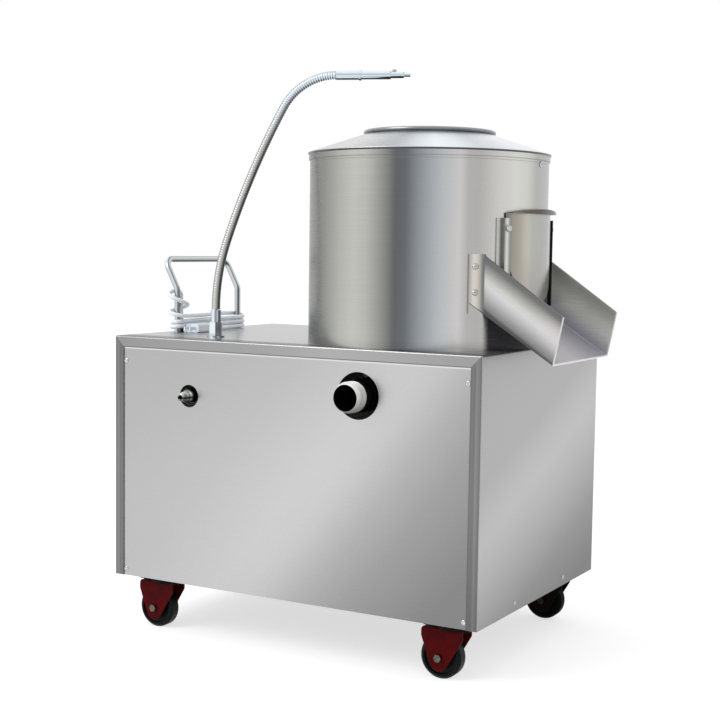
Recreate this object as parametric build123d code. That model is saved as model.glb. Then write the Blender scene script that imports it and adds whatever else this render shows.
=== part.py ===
from build123d import *
import os
from math import asin, cos, degrees, hypot, radians, sin, sqrt, tan

# A drum peeler for potatoes, on casters. Millimetres, +Z up, resting on Z = 0.
# The shapes are built about the middle of the cabinet, and the last section moves
# them all so that the origin lies under the middle of the whole machine.
# The front is -Y, the discharge end is +X and the push handle end is -X.

# Driving sizes
cabinet_width = 750.0
cabinet_depth = 530.0
cabinet_height = 450.0
caster_height = 98.0
sheet = 2.0
drum_radius = 213.0
drum_wall_height = 335.0
drum_side_inset = 1.0
drum_front_inset = 8.0
frame_leg = 30.0
frame_wall = 3.0
gap = 0.3
fit = 0.1
bore_fit = 0.05
overrun = 20.0

deck = caster_height + cabinet_height
deck_under = deck - sheet
front = -cabinet_depth / 2
back = cabinet_depth / 2
left = -cabinet_width / 2
right = cabinet_width / 2
drum_x = right - drum_radius - drum_side_inset
drum_back_shift = back - drum_radius - drum_front_inset
drum_y = -drum_back_shift
rim = deck + drum_wall_height


def block(x0, x1, y0, y1, z0, z1):
    """A box between two opposite corners."""
    middle = Pos((x0 + x1) / 2, (y0 + y1) / 2, (z0 + z1) / 2)
    return middle * Box(abs(x1 - x0), abs(y1 - y0), abs(z1 - z0))


def post(x, y, z0, z1, radius):
    """An upright cylinder between two heights."""
    return Pos(x, y, (z0 + z1) / 2) * Cylinder(radius, abs(z1 - z0))


def tube(x, y, z0, z1, outer, inner):
    """An upright tube between two heights."""
    return post(x, y, z0, z1, outer) - post(x, y, z0 - overrun, z1 + overrun, inner)


def pin_y(x, z, y0, y1, radius):
    """A cylinder that lies along Y."""
    return Pos(x, (y0 + y1) / 2, z) * Rot(90, 0, 0) * Cylinder(radius, abs(y1 - y0))


def pin_x(y, z, x0, x1, radius):
    """A cylinder that lies along X."""
    return Pos((x0 + x1) / 2, y, z) * Rot(0, 90, 0) * Cylinder(radius, abs(x1 - x0))


def run_along_y(outline, y0, y1):
    """A profile of X and Z points, extruded along Y."""
    face = make_face(Polyline(*outline, close=True))
    return extrude(Plane.XZ.offset(-y0) * face, -(y1 - y0))


def drum_arc(inner, outer, a0, a1, z0, z1):
    """A piece of sheet bent round the drum between two angles from +X."""
    edges = [
        CenterArc((0, 0), outer, a0, a1 - a0),
        Line((outer * cos(radians(a1)), outer * sin(radians(a1))),
             (inner * cos(radians(a1)), inner * sin(radians(a1)))),
        CenterArc((0, 0), inner, a0, a1 - a0),
        Line((inner * cos(radians(a0)), inner * sin(radians(a0))),
             (outer * cos(radians(a0)), outer * sin(radians(a0)))),
    ]
    face = make_face(edges)
    return Pos(drum_x, drum_y, z0) * extrude(face, z1 - z0)


parts = {}


# Casters: four plate casters with bent steel forks and solid wheels
wheel_radius = 37.5
wheel_width = 24.0
wheel_edge = 4.0
hub_radius = 13.0
hub_width = 30.0
plate_length = 84.0
plate_width = 64.0
plate_thick = 3.0
race_radius = 29.0
race_thick = 6.0
fork_thick = 3.0
fork_drop = gap
trail = 20.0
axle_radius = 4.0
axle_head_radius = 7.0
axle_head = 5.0
king_radius = 5.0
king_head_radius = 9.0
king_head = 3.0
mount_hole_radius = 4.5
mount_hole_inset = 10.0
fork_side_gap = 1.0
caster_from_right = 59.0
caster_from_left = 95.0
caster_from_side = 40.0
caster_right = right - caster_from_right
caster_left = left + caster_from_left
caster_y = back - caster_from_side
caster_places = {
    "front_right": (caster_right, -caster_y),
    "front_left": (caster_left, -caster_y),
    "rear_right": (caster_right, caster_y),
    "rear_left": (caster_left, caster_y),
}
fork_front = 24.0
fork_rear = 52.0
fork_foot_radius = 11.0
fork_foot_drop = 11.0
fork_shoulder = 16.0


def caster_plate():
    """Top plate with its ball race below and the riveted king pin."""
    low = caster_height - plate_thick
    half_l = plate_length / 2
    half_w = plate_width / 2
    plate = block(-half_l, half_l, -half_w, half_w, low, caster_height)
    for sx in (-1, 1):
        for sy in (-1, 1):
            x = sx * (half_l - mount_hole_inset)
            y = sy * (half_w - mount_hole_inset)
            plate -= post(x, y, low - overrun, deck, mount_hole_radius)
    race = post(0, 0, low - race_thick, low, race_radius)
    crown_low = low - race_thick - fork_drop - fork_thick
    pin = post(0, 0, crown_low - fork_drop, low - race_thick, king_radius)
    head = post(0, 0, crown_low - fork_drop - king_head, crown_low - fork_drop, king_head_radius)
    return plate + race + pin + head


def caster_fork():
    """Pressed fork: a crown under the race and two tapering cheeks with round feet."""
    top = caster_height - plate_thick - race_thick - fork_drop
    low = top - fork_thick
    inner = hub_width / 2 + fork_side_gap
    outer = inner + fork_thick
    outline = [
        (fork_front, top),
        (fork_front, low - fork_shoulder / 2),
        (-trail + fork_foot_radius, wheel_radius - fork_foot_drop),
        (-trail - fork_foot_radius, wheel_radius - fork_foot_drop),
        (-fork_rear, low - fork_shoulder),
        (-fork_rear, top),
    ]
    cheeks = run_along_y(outline, -outer, outer)
    corner_radius = fork_thick + fork_side_gap
    feet = cheeks.edges().filter_by(Axis.Y).sort_by(Axis.Z)[:2]
    cheeks = fillet(feet, fork_foot_radius - fork_side_gap)
    shoulders = cheeks.edges().filter_by(Axis.Y).group_by(Axis.Z)[-1]
    cheeks = fillet(shoulders, corner_radius)
    cheeks -= block(-fork_rear - overrun, fork_front + overrun, -inner, inner, 0, low)
    cheeks -= pin_y(-trail, wheel_radius, -outer - overrun, outer + overrun, axle_radius + fit)
    cheeks -= post(0, 0, low - overrun, top + overrun, king_radius + bore_fit)
    return cheeks


def caster_wheel():
    """Solid tyre on a dished centre, with a longer hub."""
    half = wheel_width / 2
    profile = Polyline(
        (axle_radius + bore_fit, -hub_width / 2),
        (hub_radius, -hub_width / 2),
        (hub_radius + wheel_edge / 2, -half + wheel_edge),
        (wheel_radius - 2 * wheel_edge, -half + wheel_edge),
        (wheel_radius - 2 * wheel_edge, -half),
        (wheel_radius - wheel_edge, -half),
        (wheel_radius, -half + wheel_edge),
        (wheel_radius, half - wheel_edge),
        (wheel_radius - wheel_edge, half),
        (wheel_radius - 2 * wheel_edge, half),
        (wheel_radius - 2 * wheel_edge, half - wheel_edge),
        (hub_radius + wheel_edge / 2, half - wheel_edge),
        (hub_radius, hub_width / 2),
        (axle_radius + bore_fit, hub_width / 2),
        close=True,
    )
    turned = revolve(Plane.XZ * make_face(profile), Axis.Z)
    return Pos(-trail, 0, wheel_radius) * Rot(90, 0, 0) * turned


def caster_axle():
    """Axle bolt with a hexagon head and a nut outside the fork's cheeks."""
    outer = hub_width / 2 + fork_side_gap + fork_thick
    hexagon = RegularPolygon(axle_head_radius, 6)
    shank = pin_y(-trail, wheel_radius, -outer - axle_head, outer + axle_head, axle_radius)
    near = Pos(-trail, -outer, wheel_radius) * extrude(Plane.XZ * hexagon, axle_head)
    far = Pos(-trail, outer, wheel_radius) * extrude(Plane.XZ * hexagon, -axle_head)
    return shank + near + far


for place, (x, y) in caster_places.items():
    parts["caster_fork_" + place] = Pos(x, y, 0) * caster_fork()
    parts["caster_wheel_" + place] = Pos(x, y, 0) * caster_wheel()
    parts["caster_axle_" + place] = Pos(x, y, 0) * caster_axle()
parts["caster_plates"] = Compound([Pos(x, y, 0) * caster_plate() for x, y in caster_places.values()])


# Cabinet shell: deck and ends in one folded sheet, with a band folded round both openings
shell_round = 3.0
band = 20.0
panel_step = 3.5
ledge = 14.0
panel_sheet = 1.5
panel_gap = 0.5
panel_screw_side = 25.0
panel_screw_top = 46.0
panel_screw_low = 12.0
screw_radius = 2.0
screw_head_radius = 4.2
screw_head = 1.2
end_screw_y = 112.0
end_screw_z = 15.0
deck_ledge = 40.0
deck_opening = drum_radius - deck_ledge
base_thread_radius = 8.0
button_hole_radius = 11.2
button_y = 120.0
button_drop = 95.0
button_pitch = 55.0
button_heights = (deck - button_drop, deck - button_drop - button_pitch)
grommet_hole_radius = 4.6


def opening_frame(inner_x, outer_x, inner_top, outer_top, y0, y1):
    """A three-sided frame, open at the bottom, in the plane of a panel."""
    whole = block(-outer_x, outer_x, y0, y1, caster_height, outer_top)
    hole = block(-inner_x, inner_x, min(y0, y1) - overrun, max(y0, y1) + overrun, 0, inner_top)
    return whole - hole


def cabinet_shell():
    """Folded shell with a joggled ledge behind each band for its panel."""
    solid = block(left, right, front, back, caster_height, deck)
    rounded = [e for e in solid.edges() if e.center().Z > caster_height + sheet]
    shell = fillet(rounded, shell_round)
    shell -= block(left + sheet, right - sheet, front + sheet, back - sheet, 0, deck_under)
    open_x = right - band
    open_top = deck - band
    shell -= block(-open_x, open_x, front - overrun, back + overrun, 0, open_top)
    for side in (-1, 1):
        face = side * cabinet_depth / 2
        step_back = face - side * (panel_step + sheet)
        shell += opening_frame(open_x, open_x + sheet, open_top, open_top + sheet, face, step_back)
        shell += opening_frame(open_x - ledge, open_x + sheet, open_top - ledge, open_top + sheet,
                               face - side * panel_step, step_back)
    shell -= post(drum_x, drum_y, deck_under - overrun, deck + overrun, deck_opening)
    for x, y in screw_places():
        shell -= pin_y(x, y, front - overrun, back + overrun, screw_radius + fit)
    for y in (-end_screw_y, end_screw_y):
        shell -= pin_x(y, caster_height + end_screw_z, left - overrun, right + overrun, screw_radius + fit)
    shell -= post(base_x, base_y, deck_under - overrun, deck + overrun, base_thread_radius + fit)
    shell -= post(handle_x, grommet_y, deck_under - overrun, deck + overrun, grommet_hole_radius)
    for z in button_heights:
        shell -= pin_x(button_y, z, left - overrun, left + overrun, button_hole_radius)
    return shell


def screw_places():
    """The X and Z of a panel's corner screws."""
    x = right - panel_screw_side
    return [(sx * x, z) for sx in (-1, 1)
            for z in (caster_height + panel_screw_low, deck - panel_screw_top)]


def panel(side):
    """A flat panel that lies on the ledge inside the band, held by its corner screws."""
    face = side * cabinet_depth / 2
    low = face - side * panel_step
    x = right - band - panel_gap
    sheet_panel = block(-x, x, low, low + side * panel_sheet, caster_height, deck - band - panel_gap)
    for sx, z in screw_places():
        sheet_panel -= pin_y(sx, z, low - side * overrun, low + side * overrun, screw_radius + fit)
    return sheet_panel


def panel_screws():
    """Pan-head screws through both panels, and through the two ends low down."""
    screws = []
    for side in (-1, 1):
        low = side * (cabinet_depth / 2 - panel_step)
        for x, z in screw_places():
            head = pin_y(x, z, low + side * panel_sheet, low + side * (panel_sheet + screw_head),
                         screw_head_radius)
            shank = pin_y(x, z, low - side * sheet, low + side * panel_sheet, screw_radius)
            screws.append(head + shank)
    for side in (-1, 1):
        face = side * cabinet_width / 2
        for y in (-end_screw_y, end_screw_y):
            z = caster_height + end_screw_z
            head = pin_x(y, z, face, face + side * screw_head, screw_head_radius)
            shank = pin_x(y, z, face - side * sheet, face, screw_radius)
            screws.append(head + shank)
    return Compound(screws)


# Front panel: holes for the hose nipple and the drain pipe
inlet_hole_radius = 20.5
inlet_from_left = 169.0
inlet_drop = 103.0
drain_hole_radius = 40.5
drain_from_right = 229.5
drain_drop = 79.5
inlet_x = left + inlet_from_left
inlet_z = deck - inlet_drop
drain_x = right - drain_from_right
drain_z = deck - drain_drop


def front_panel():
    """Front panel with its two pipe holes."""
    plain = panel(-1)
    plain -= pin_y(inlet_x, inlet_z, front - overrun, front + overrun, inlet_hole_radius)
    plain -= pin_y(drain_x, drain_z, front - overrun, front + overrun, drain_hole_radius)
    return plain


# Rear panel: rows of air slots beside the motor
slot_length = 90.0
slot_height = 7.0
slot_pitch = 22.0
slot_rows = 7
slot_columns = 2
slot_column_pitch = 115.0
slot_low = 190.0


def rear_panel():
    """Rear panel with air slots in line with the motor."""
    plain = panel(1)
    for column in range(slot_columns):
        x = motor_x + (column - (slot_columns - 1) / 2) * slot_column_pitch
        for row in range(slot_rows):
            z = slot_low + row * slot_pitch
            plain -= block(x - slot_length / 2, x + slot_length / 2, back - overrun, back + overrun,
                           z, z + slot_height)
    return plain


# Base frame: welded angle, with gussets over the casters and rails for the machinery
belt_reach = 270.0
motor_x = drum_x - belt_reach
motor_y = drum_y
motor_rail_z = 225.0
motor_rail_half = 85.0
spindle_rail_half = 70.0
gusset = 4.0
gusset_length = 100.0
gusset_width = 74.0
frame_clear = 0.4
bolt_radius = 5.0
bolt_head_radius = 9.0
bolt_head = 6.0
frame_x = right - sheet - frame_clear
frame_y = back - panel_step - sheet - frame_clear
frame_low = caster_height + gusset
frame_top = deck_under - gap


def angle_x(x0, x1, y_out, z_low, facing, up):
    """An angle rail along X: one upright leg at y_out, one flat leg going inward."""
    y_in = y_out - facing * frame_leg
    z_high = z_low + frame_leg
    upright = block(x0, x1, y_out, y_out - facing * frame_wall, z_low, z_high)
    z_flat = z_high - frame_wall if up else z_low
    return upright + block(x0, x1, y_out, y_in, z_flat, z_flat + frame_wall)


def angle_y(y0, y1, x_out, z_low, facing, up):
    """An angle rail along Y: one upright leg at x_out, one flat leg going inward."""
    x_in = x_out - facing * frame_leg
    z_high = z_low + frame_leg
    upright = block(x_out, x_out - facing * frame_wall, y0, y1, z_low, z_high)
    z_flat = z_high - frame_wall if up else z_low
    return upright + block(x_out, x_in, y0, y1, z_flat, z_flat + frame_wall)


def base_frame():
    """Bottom and top rings, corner posts, motor rails and spindle rails as one weldment."""
    bars = []
    for side in (-1, 1):
        bars.append(angle_x(-frame_x, frame_x, side * frame_y, frame_low, side, False))
        bars.append(angle_x(-frame_x, frame_x, side * frame_y, frame_top - frame_leg, side, True))
        bars.append(angle_x(-frame_x, frame_x, side * frame_y, motor_rail_z + frame_leg, side, False))
        bars.append(angle_y(-frame_y, frame_y, side * frame_x, frame_low, side, False))
        bars.append(angle_y(-frame_y, frame_y, side * frame_x, frame_top - frame_leg, side, True))
        x_out = motor_x + side * (motor_rail_half + frame_leg)
        bars.append(angle_y(-frame_y, frame_y, x_out, motor_rail_z, side, False))
        x_out = drum_x + side * (spindle_rail_half + frame_leg)
        bars.append(angle_y(-frame_y, frame_y, x_out, frame_top - frame_leg, side, False))
        for end in (-1, 1):
            x = end * frame_x
            y = side * frame_y
            bars.append(block(x, x - end * frame_wall, y, y - side * frame_leg, frame_low, frame_top))
            bars.append(block(x, x - end * frame_leg, y, y - side * frame_wall, frame_low, frame_top))
    for x, y in caster_places.values():
        inner = abs(y) - gusset_width / 2
        pad = block(x - gusset_length / 2, x + gusset_length / 2, inner, frame_y, caster_height, frame_low)
        bars.append(pad if y > 0 else mirror(pad, Plane.XZ))
    frame = bars[0].fuse(*bars[1:])
    for x, y in housing_bolt_places() + motor_bolt_places():
        low = motor_rail_z if abs(x - motor_x) < abs(x - drum_x) else frame_top - frame_leg
        frame -= post(x, y, low - frame_wall, low + 2 * frame_wall, bolt_radius + fit)
    frame -= post(handle_x, grommet_y, frame_top - 2 * frame_wall, deck, grommet_hole_radius)
    for x, y in caster_places.values():
        for sx in (-1, 1):
            for sy in (-1, 1):
                hole_x = x + sx * (plate_length / 2 - mount_hole_inset)
                hole_y = y + sy * (plate_width / 2 - mount_hole_inset)
                frame -= post(hole_x, hole_y, 0, frame_low + 2 * frame_wall, mount_hole_radius)
    return frame


caster_bolt_radius = 4.0
caster_bolt_head_radius = 7.0
caster_bolt_head = 5.0


def caster_bolts():
    """Bolts with nuts that hold the four caster plates to the gussets."""
    bolts = []
    for x, y in caster_places.values():
        for sx in (-1, 1):
            for sy in (-1, 1):
                bx = x + sx * (plate_length / 2 - mount_hole_inset)
                by = y + sy * (plate_width / 2 - mount_hole_inset)
                edge = frame_y - frame_leg
                top = frame_low + (frame_wall if abs(by) > edge else 0)
                low = caster_height - plate_thick
                bolt = post(bx, by, low, top, caster_bolt_radius)
                bolt += post(bx, by, low - caster_bolt_head, low, caster_bolt_head_radius)
                bolts.append(bolt)
    return Compound(bolts)


def housing_bolt_places():
    """Four bolts through the housing flange and the spindle rails."""
    return [(drum_x + sx * housing_bolt, drum_y + sy * housing_bolt) for sx in (-1, 1) for sy in (-1, 1)]


def motor_bolt_places():
    """Four bolts through the motor plate and the motor rails."""
    x = motor_rail_half + frame_leg / 2
    return [(motor_x + sx * x, motor_y + sy * motor_bolt_y) for sx in (-1, 1) for sy in (-1, 1)]


def frame_bolts():
    """Bolts that hang the bearing housing and the motor plate under their rails."""
    bolts = []
    sets = (
        (housing_bolt_places(), frame_top - frame_leg, housing_flange),
        (motor_bolt_places(), motor_rail_z, motor_plate),
    )
    for places, rail, thick in sets:
        for x, y in places:
            low = rail - thick
            top = rail + frame_wall
            bolt = post(x, y, low, top, bolt_radius)
            bolt += post(x, y, low - bolt_head, low, bolt_head_radius)
            bolt += post(x, y, top, top + bolt_head, bolt_head_radius)
            bolts.append(bolt)
    return Compound(bolts)


# Spindle: bearing housing under the deck, bearings, seal, shaft, disc and large pulley
housing_flange = 10.0
housing_half = 100.0
housing_bolt = 85.0
housing_radius = 45.0
housing_length = 215.0
bearing_radius = 31.0
bearing_width = 16.0
bearing_bore = 15.0
housing_lip = 5.0
neck_radius = 34.0
neck_height = 37.0
seal_radius = 26.0
seal_height = 10.0
liner_thick = 3.0
disc_gap = 7.7
disc_radius = drum_radius - sheet - gap - liner_thick - disc_gap
disc_rise = 106.0
disc_top = deck + disc_rise
disc_thick = 12.0
disc_hub_radius = 46.0
disc_hub_drop = 70.0
disc_hub_wall = 5.0
shaft_radius = 15.0
shaft_low = 160.0
nut_radius = 18.0
nut_height = 16.0
belt_z = 190.0
pulley_width = 30.0
belt_top = 13.0
belt_low = 8.5
belt_height = 8.0
groove_depth = 11.0
drum_pitch_radius = 132.0
motor_pitch_radius = 33.0
pitch_in = 3.0
pulley_web = 8.0
pulley_rim = 10.0
hub_outer = 30.0
spoke_count = 5
spoke_hole_radius = 26.0
housing_top = frame_top - frame_leg


def bearing_housing():
    """Flanged housing with a bearing seat at each end and a neck up into the drum."""
    low = housing_top - housing_length
    neck_top = deck + neck_height
    flange_low = housing_top - housing_flange
    body = block(drum_x - housing_half, drum_x + housing_half, drum_y - housing_half,
                 drum_y + housing_half, flange_low, housing_top)
    upright = body.edges().filter_by(Axis.Z)
    body = fillet(upright, housing_flange)
    body += post(drum_x, drum_y, low, housing_top, housing_radius)
    body += post(drum_x, drum_y, housing_top, neck_top, neck_radius)
    body -= post(drum_x, drum_y, low - overrun, neck_top + overrun, shaft_radius + housing_lip)
    body -= post(drum_x, drum_y, low - overrun, low + bearing_width, bearing_radius + fit)
    top_seat = neck_top - seal_height - gap
    body -= post(drum_x, drum_y, top_seat, neck_top + overrun, seal_radius + fit)
    upper = upper_bearing_low()
    body -= post(drum_x, drum_y, upper, upper + bearing_width, bearing_radius + fit)
    for x, y in housing_bolt_places():
        body -= post(x, y, flange_low - overrun, housing_top + overrun, bolt_radius + fit)
    return body


def upper_bearing_low():
    """The underside of the upper bearing, just under the flange's top."""
    return housing_top - housing_flange - bearing_width


def bearings():
    """Two closed ball bearings, each drawn as its outer envelope."""
    lows = (housing_top - housing_length, upper_bearing_low())
    return Compound([tube(drum_x, drum_y, z, z + bearing_width, bearing_radius, bearing_bore + bore_fit)
                     for z in lows])


def shaft_seal():
    """Lip seal that keeps water out of the housing."""
    top = deck + neck_height
    return tube(drum_x, drum_y, top - seal_height, top, seal_radius, shaft_radius + bore_fit)


def spindle_shaft():
    """Straight shaft from under the large pulley up through the disc."""
    top = disc_top + nut_height
    return post(drum_x, drum_y, shaft_low, top, shaft_radius)


swell_count = 3
swell_width = 92.0
swell_rise = 16.0
swell_start = 42.0
swell_end = 186.0
swell_tip_share = 0.62
paddle_count = 4
paddle_thick = 6.0
paddle_drop = 40.0
paddle_inset = 20.0


def disc_swell():
    """One wave of the disc: a low arch that widens from the hub to the rim."""
    sections = []
    for radius, share in ((swell_start, swell_tip_share), (swell_end, 1.0)):
        half = swell_width * share / 2
        rise = swell_rise * share
        arch = Line((-half, 0), (half, 0)) + ThreePointArc((half, 0), (0, rise), (-half, 0))
        plane = Plane(origin=(radius, 0, 0), x_dir=(0, 1, 0), z_dir=(1, 0, 0))
        sections.append(plane * make_face(arch))
    return loft(sections)


def peeling_disc():
    """Cast disc: three abrasive waves on top, sweeping paddles below, hub over the neck."""
    low = disc_top - disc_thick
    disc = post(drum_x, drum_y, low, disc_top, disc_radius)
    rim_edges = disc.edges().filter_by(GeomType.CIRCLE)
    disc = chamfer(rim_edges, disc_thick / 4)
    for count in range(swell_count):
        place = Pos(drum_x, drum_y, disc_top - fit) * Rot(0, 0, count * 360 / swell_count)
        disc += place * disc_swell()
    hub_low = low - disc_hub_drop
    disc += post(drum_x, drum_y, hub_low, low, disc_hub_radius)
    for count in range(paddle_count):
        arm = block(disc_hub_radius - disc_hub_wall, disc_radius - paddle_inset,
                    -paddle_thick / 2, paddle_thick / 2, low - paddle_drop, low)
        disc += Pos(drum_x, drum_y, 0) * Rot(0, 0, count * 360 / paddle_count) * arm
    disc -= post(drum_x, drum_y, hub_low - overrun, low - disc_hub_wall, disc_hub_radius - disc_hub_wall)
    disc -= post(drum_x, drum_y, hub_low - overrun, disc_top + 2 * overrun, shaft_radius + fit)
    return disc


def disc_nut():
    """Domed nut that holds the disc down on the shaft."""
    low = disc_top
    hexagon = Pos(drum_x, drum_y, low) * extrude(RegularPolygon(nut_radius + disc_hub_wall, 6), nut_height)
    dome = post(drum_x, drum_y, low + nut_height, low + nut_height + disc_hub_wall, nut_radius)
    dome = fillet(dome.edges().group_by(Axis.Z)[-1], disc_hub_wall - bore_fit)
    nut = hexagon + dome
    return nut - post(drum_x, drum_y, low - overrun, disc_top + nut_height + fit, shaft_radius + fit)


def grooved_wheel(x, y, pitch_radius, bore):
    """A pulley with one V groove, a thin web and a hub."""
    outer = pitch_radius + pitch_in
    root = outer - groove_depth
    half = pulley_width / 2
    half_top = belt_top / 2 + gap
    half_low = belt_low / 2 - fit
    profile = Polyline(
        (0, -half), (outer, -half), (outer, -half_top), (root, -half_low),
        (root, half_low), (outer, half_top), (outer, half), (0, half), close=True,
    )
    wheel = revolve(Plane.XZ * make_face(profile), Axis.Z)
    wheel -= Cylinder(bore, 2 * pulley_width)
    return Pos(x, y, belt_z) * wheel


def drum_pulley():
    """Large pulley with a thin web pierced by round holes."""
    wheel = grooved_wheel(drum_x, drum_y, drum_pitch_radius, shaft_radius + fit)
    rim_inner = drum_pitch_radius + pitch_in - groove_depth - pulley_rim
    for side in (-1, 1):
        z_face = belt_z + side * pulley_width / 2
        z_web = belt_z + side * pulley_web / 2
        wheel -= tube(drum_x, drum_y, min(z_face, z_web), max(z_face, z_web), rim_inner, hub_outer)
    middle = (rim_inner + hub_outer) / 2
    for count in range(spoke_count):
        angle = radians(count * 360 / spoke_count)
        wheel -= post(drum_x + middle * cos(angle), drum_y + middle * sin(angle),
                      belt_z - pulley_web, belt_z + pulley_web, spoke_hole_radius)
    return wheel


def v_belt():
    """Belt of V section round both pulleys, with a small gap in each groove."""
    reach = drum_x - motor_x
    big = drum_pitch_radius + fit
    small = motor_pitch_radius + fit
    lean = asin((big - small) / reach)
    rise = cos(lean)
    ahead = sin(lean)
    big_far = (drum_x - big * ahead, drum_y + big * rise, belt_z)
    big_near = (drum_x - big * ahead, drum_y - big * rise, belt_z)
    small_far = (motor_x - small * ahead, motor_y + small * rise, belt_z)
    small_near = (motor_x - small * ahead, motor_y - small * rise, belt_z)
    route = Wire([
        Edge.make_line(small_far, big_far),
        Edge.make_three_point_arc(big_far, (drum_x + big, drum_y, belt_z), big_near),
        Edge.make_line(big_near, small_near),
        Edge.make_three_point_arc(small_near, (motor_x - small, motor_y, belt_z), small_far),
    ])
    top = pitch_in - gap
    section = Polyline(
        (top, -belt_top / 2), (top, belt_top / 2),
        (top - belt_height, belt_low / 2 - gap), (top - belt_height, -belt_low / 2 + gap), close=True,
    )
    plane = Plane(origin=small_far, x_dir=(-ahead, rise, 0), z_dir=(rise, ahead, 0))
    return sweep(plane * make_face(section), path=route)


# Motor: finned body on a plate under its rails, with its shaft and pulley below
motor_radius = 66.0
motor_fin = 9.0
motor_fin_thick = 3.0
motor_fins = 20
motor_body_height = 170.0
motor_flange_radius = 80.0
motor_flange = 10.0
motor_cap_height = 46.0
motor_cap_radius = 72.0
motor_plate = 6.0
motor_plate_y = 100.0
motor_bolt_y = 75.0
motor_shaft_radius = 9.5
motor_shaft_low = 172.0
motor_pilot_radius = 30.0
terminal_width = 70.0
terminal_height = 56.0
terminal_depth = 34.0
cap_slots = 8
cap_slot_width = 5.0
cap_slot_inset = 20.0
shaft_seat = 150.0


def motor_bracket():
    """Plate under the two motor rails, open in the middle for the shaft."""
    x = motor_rail_half + frame_leg
    low = motor_rail_z - motor_plate
    plate = block(motor_x - x, motor_x + x, motor_y - motor_plate_y, motor_y + motor_plate_y,
                  low, motor_rail_z)
    plate -= post(motor_x, motor_y, low - overrun, motor_rail_z + overrun, motor_pilot_radius)
    for x, y in motor_bolt_places():
        plate -= post(x, y, low - overrun, motor_rail_z + overrun, bolt_radius + fit)
    return plate


def motor_body():
    """Flange, finned frame and a slotted cap over the fan."""
    flange_top = motor_rail_z + motor_flange
    body_top = flange_top + motor_body_height
    cap_top = body_top + motor_cap_height
    body = post(motor_x, motor_y, motor_rail_z, flange_top, motor_flange_radius)
    body += post(motor_x, motor_y, flange_top, body_top, motor_radius)
    for count in range(motor_fins):
        fin = block(motor_radius - motor_fin_thick, motor_radius + motor_fin, -motor_fin_thick / 2,
                    motor_fin_thick / 2, flange_top, body_top)
        body += Pos(motor_x, motor_y, 0) * Rot(0, 0, count * 360 / motor_fins) * fin
    cap = post(motor_x, motor_y, body_top, cap_top, motor_cap_radius)
    cap = fillet(cap.edges().group_by(Axis.Z)[-1], motor_fin)
    for count in range(cap_slots):
        half_slot = cap_slot_width / 2
        slot = block(cap_slot_inset, motor_cap_radius - cap_slot_inset, -half_slot, half_slot,
                     cap_top - motor_fin_thick, cap_top + overrun)
        cap -= Pos(motor_x, motor_y, 0) * Rot(0, 0, count * 360 / cap_slots) * slot
    body += cap
    body -= post(motor_x, motor_y, motor_rail_z - overrun, motor_rail_z + shaft_seat + gap,
                 motor_shaft_radius + bore_fit)
    return body


def motor_terminal_box():
    """Terminal box on the side of the motor that faces the push handle."""
    x_out = motor_x - motor_radius - motor_fin / 2
    z = motor_rail_z + motor_flange + motor_body_height / 2
    box = block(x_out - terminal_depth, x_out, motor_y - terminal_width / 2, motor_y + terminal_width / 2,
                z - terminal_height / 2, z + terminal_height / 2)
    return fillet(box.edges().group_by(Axis.X)[0], shell_round)


def motor_shaft():
    """Motor shaft, from inside the motor down through its pulley."""
    return post(motor_x, motor_y, motor_shaft_low, motor_rail_z + shaft_seat, motor_shaft_radius)


# Drain: spout in the drum floor, plastic elbow and threaded pipe through the front
pan_rim = 15.0
riser_radius = 38.0
riser_height = 30.0
spout_radius = 24.0
spout_wall = 2.0
spout_drop = 34.0
drain_from_front = 81.0
drain_back = drum_y - front - drain_from_front
drain_y = drum_y - drain_back
elbow_bend = 40.0
elbow_turn = 90.0
elbow_wall = 4.0
socket_length = 28.0
pipe_radius = 25.0
pipe_bore = 22.0
thread_radius = 27.5
thread_pitch = 4.0
thread_count = 7
thread_flat_share = 0.35
pipe_reach = 45.0
pipe_stop = 3.0


def drum_floor():
    """Floor pan with an upstand, a riser round the housing's neck and the drain spout."""
    low = deck + sheet
    outer = drum_radius - sheet - gap
    pan = post(drum_x, drum_y, low, low + pan_rim, outer)
    pan -= post(drum_x, drum_y, low + sheet, low + pan_rim + overrun, outer - sheet)
    pan += post(drum_x, drum_y, low, low + riser_height, riser_radius + sheet)
    pan -= post(drum_x, drum_y, low - overrun, low + riser_height + overrun, riser_radius)
    spout_low = deck - spout_drop
    pan += post(drain_x, drain_y, spout_low, low + sheet, spout_radius)
    pan -= post(drain_x, drain_y, spout_low - overrun, low + 2 * overrun, spout_radius - spout_wall)
    return pan


def drain_elbow():
    """Plastic elbow with a socket at each end."""
    outer = pipe_radius + elbow_wall
    bend_y = drain_y - elbow_bend
    bend_z = drain_z + elbow_bend
    arc = JernArc(start=(drain_y, bend_z), tangent=(0, -1), radius=elbow_bend, arc_size=-elbow_turn)
    path = Plane.YZ.offset(drain_x) * Wire(arc.edges())
    bottom = Plane(origin=(drain_x, drain_y, bend_z), z_dir=(0, 0, -1))
    up_top = bend_z + socket_length
    y_end = bend_y - socket_length
    solid = sweep(bottom * Circle(outer - elbow_wall / 2), path=path)
    solid += post(drain_x, drain_y, bend_z, up_top, outer)
    solid += pin_y(drain_x, drain_z, y_end, bend_y, outer)
    core = sweep(bottom * Circle(pipe_bore), path=path)
    core += post(drain_x, drain_y, bend_z, bend_z + pipe_stop, pipe_bore)
    core += post(drain_x, drain_y, bend_z + pipe_stop, up_top + overrun, spout_radius + fit)
    core += pin_y(drain_x, drain_z, bend_y - pipe_stop, bend_y, pipe_bore)
    core += pin_y(drain_x, drain_z, y_end - overrun, bend_y - pipe_stop, pipe_radius + fit)
    return solid - core


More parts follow.
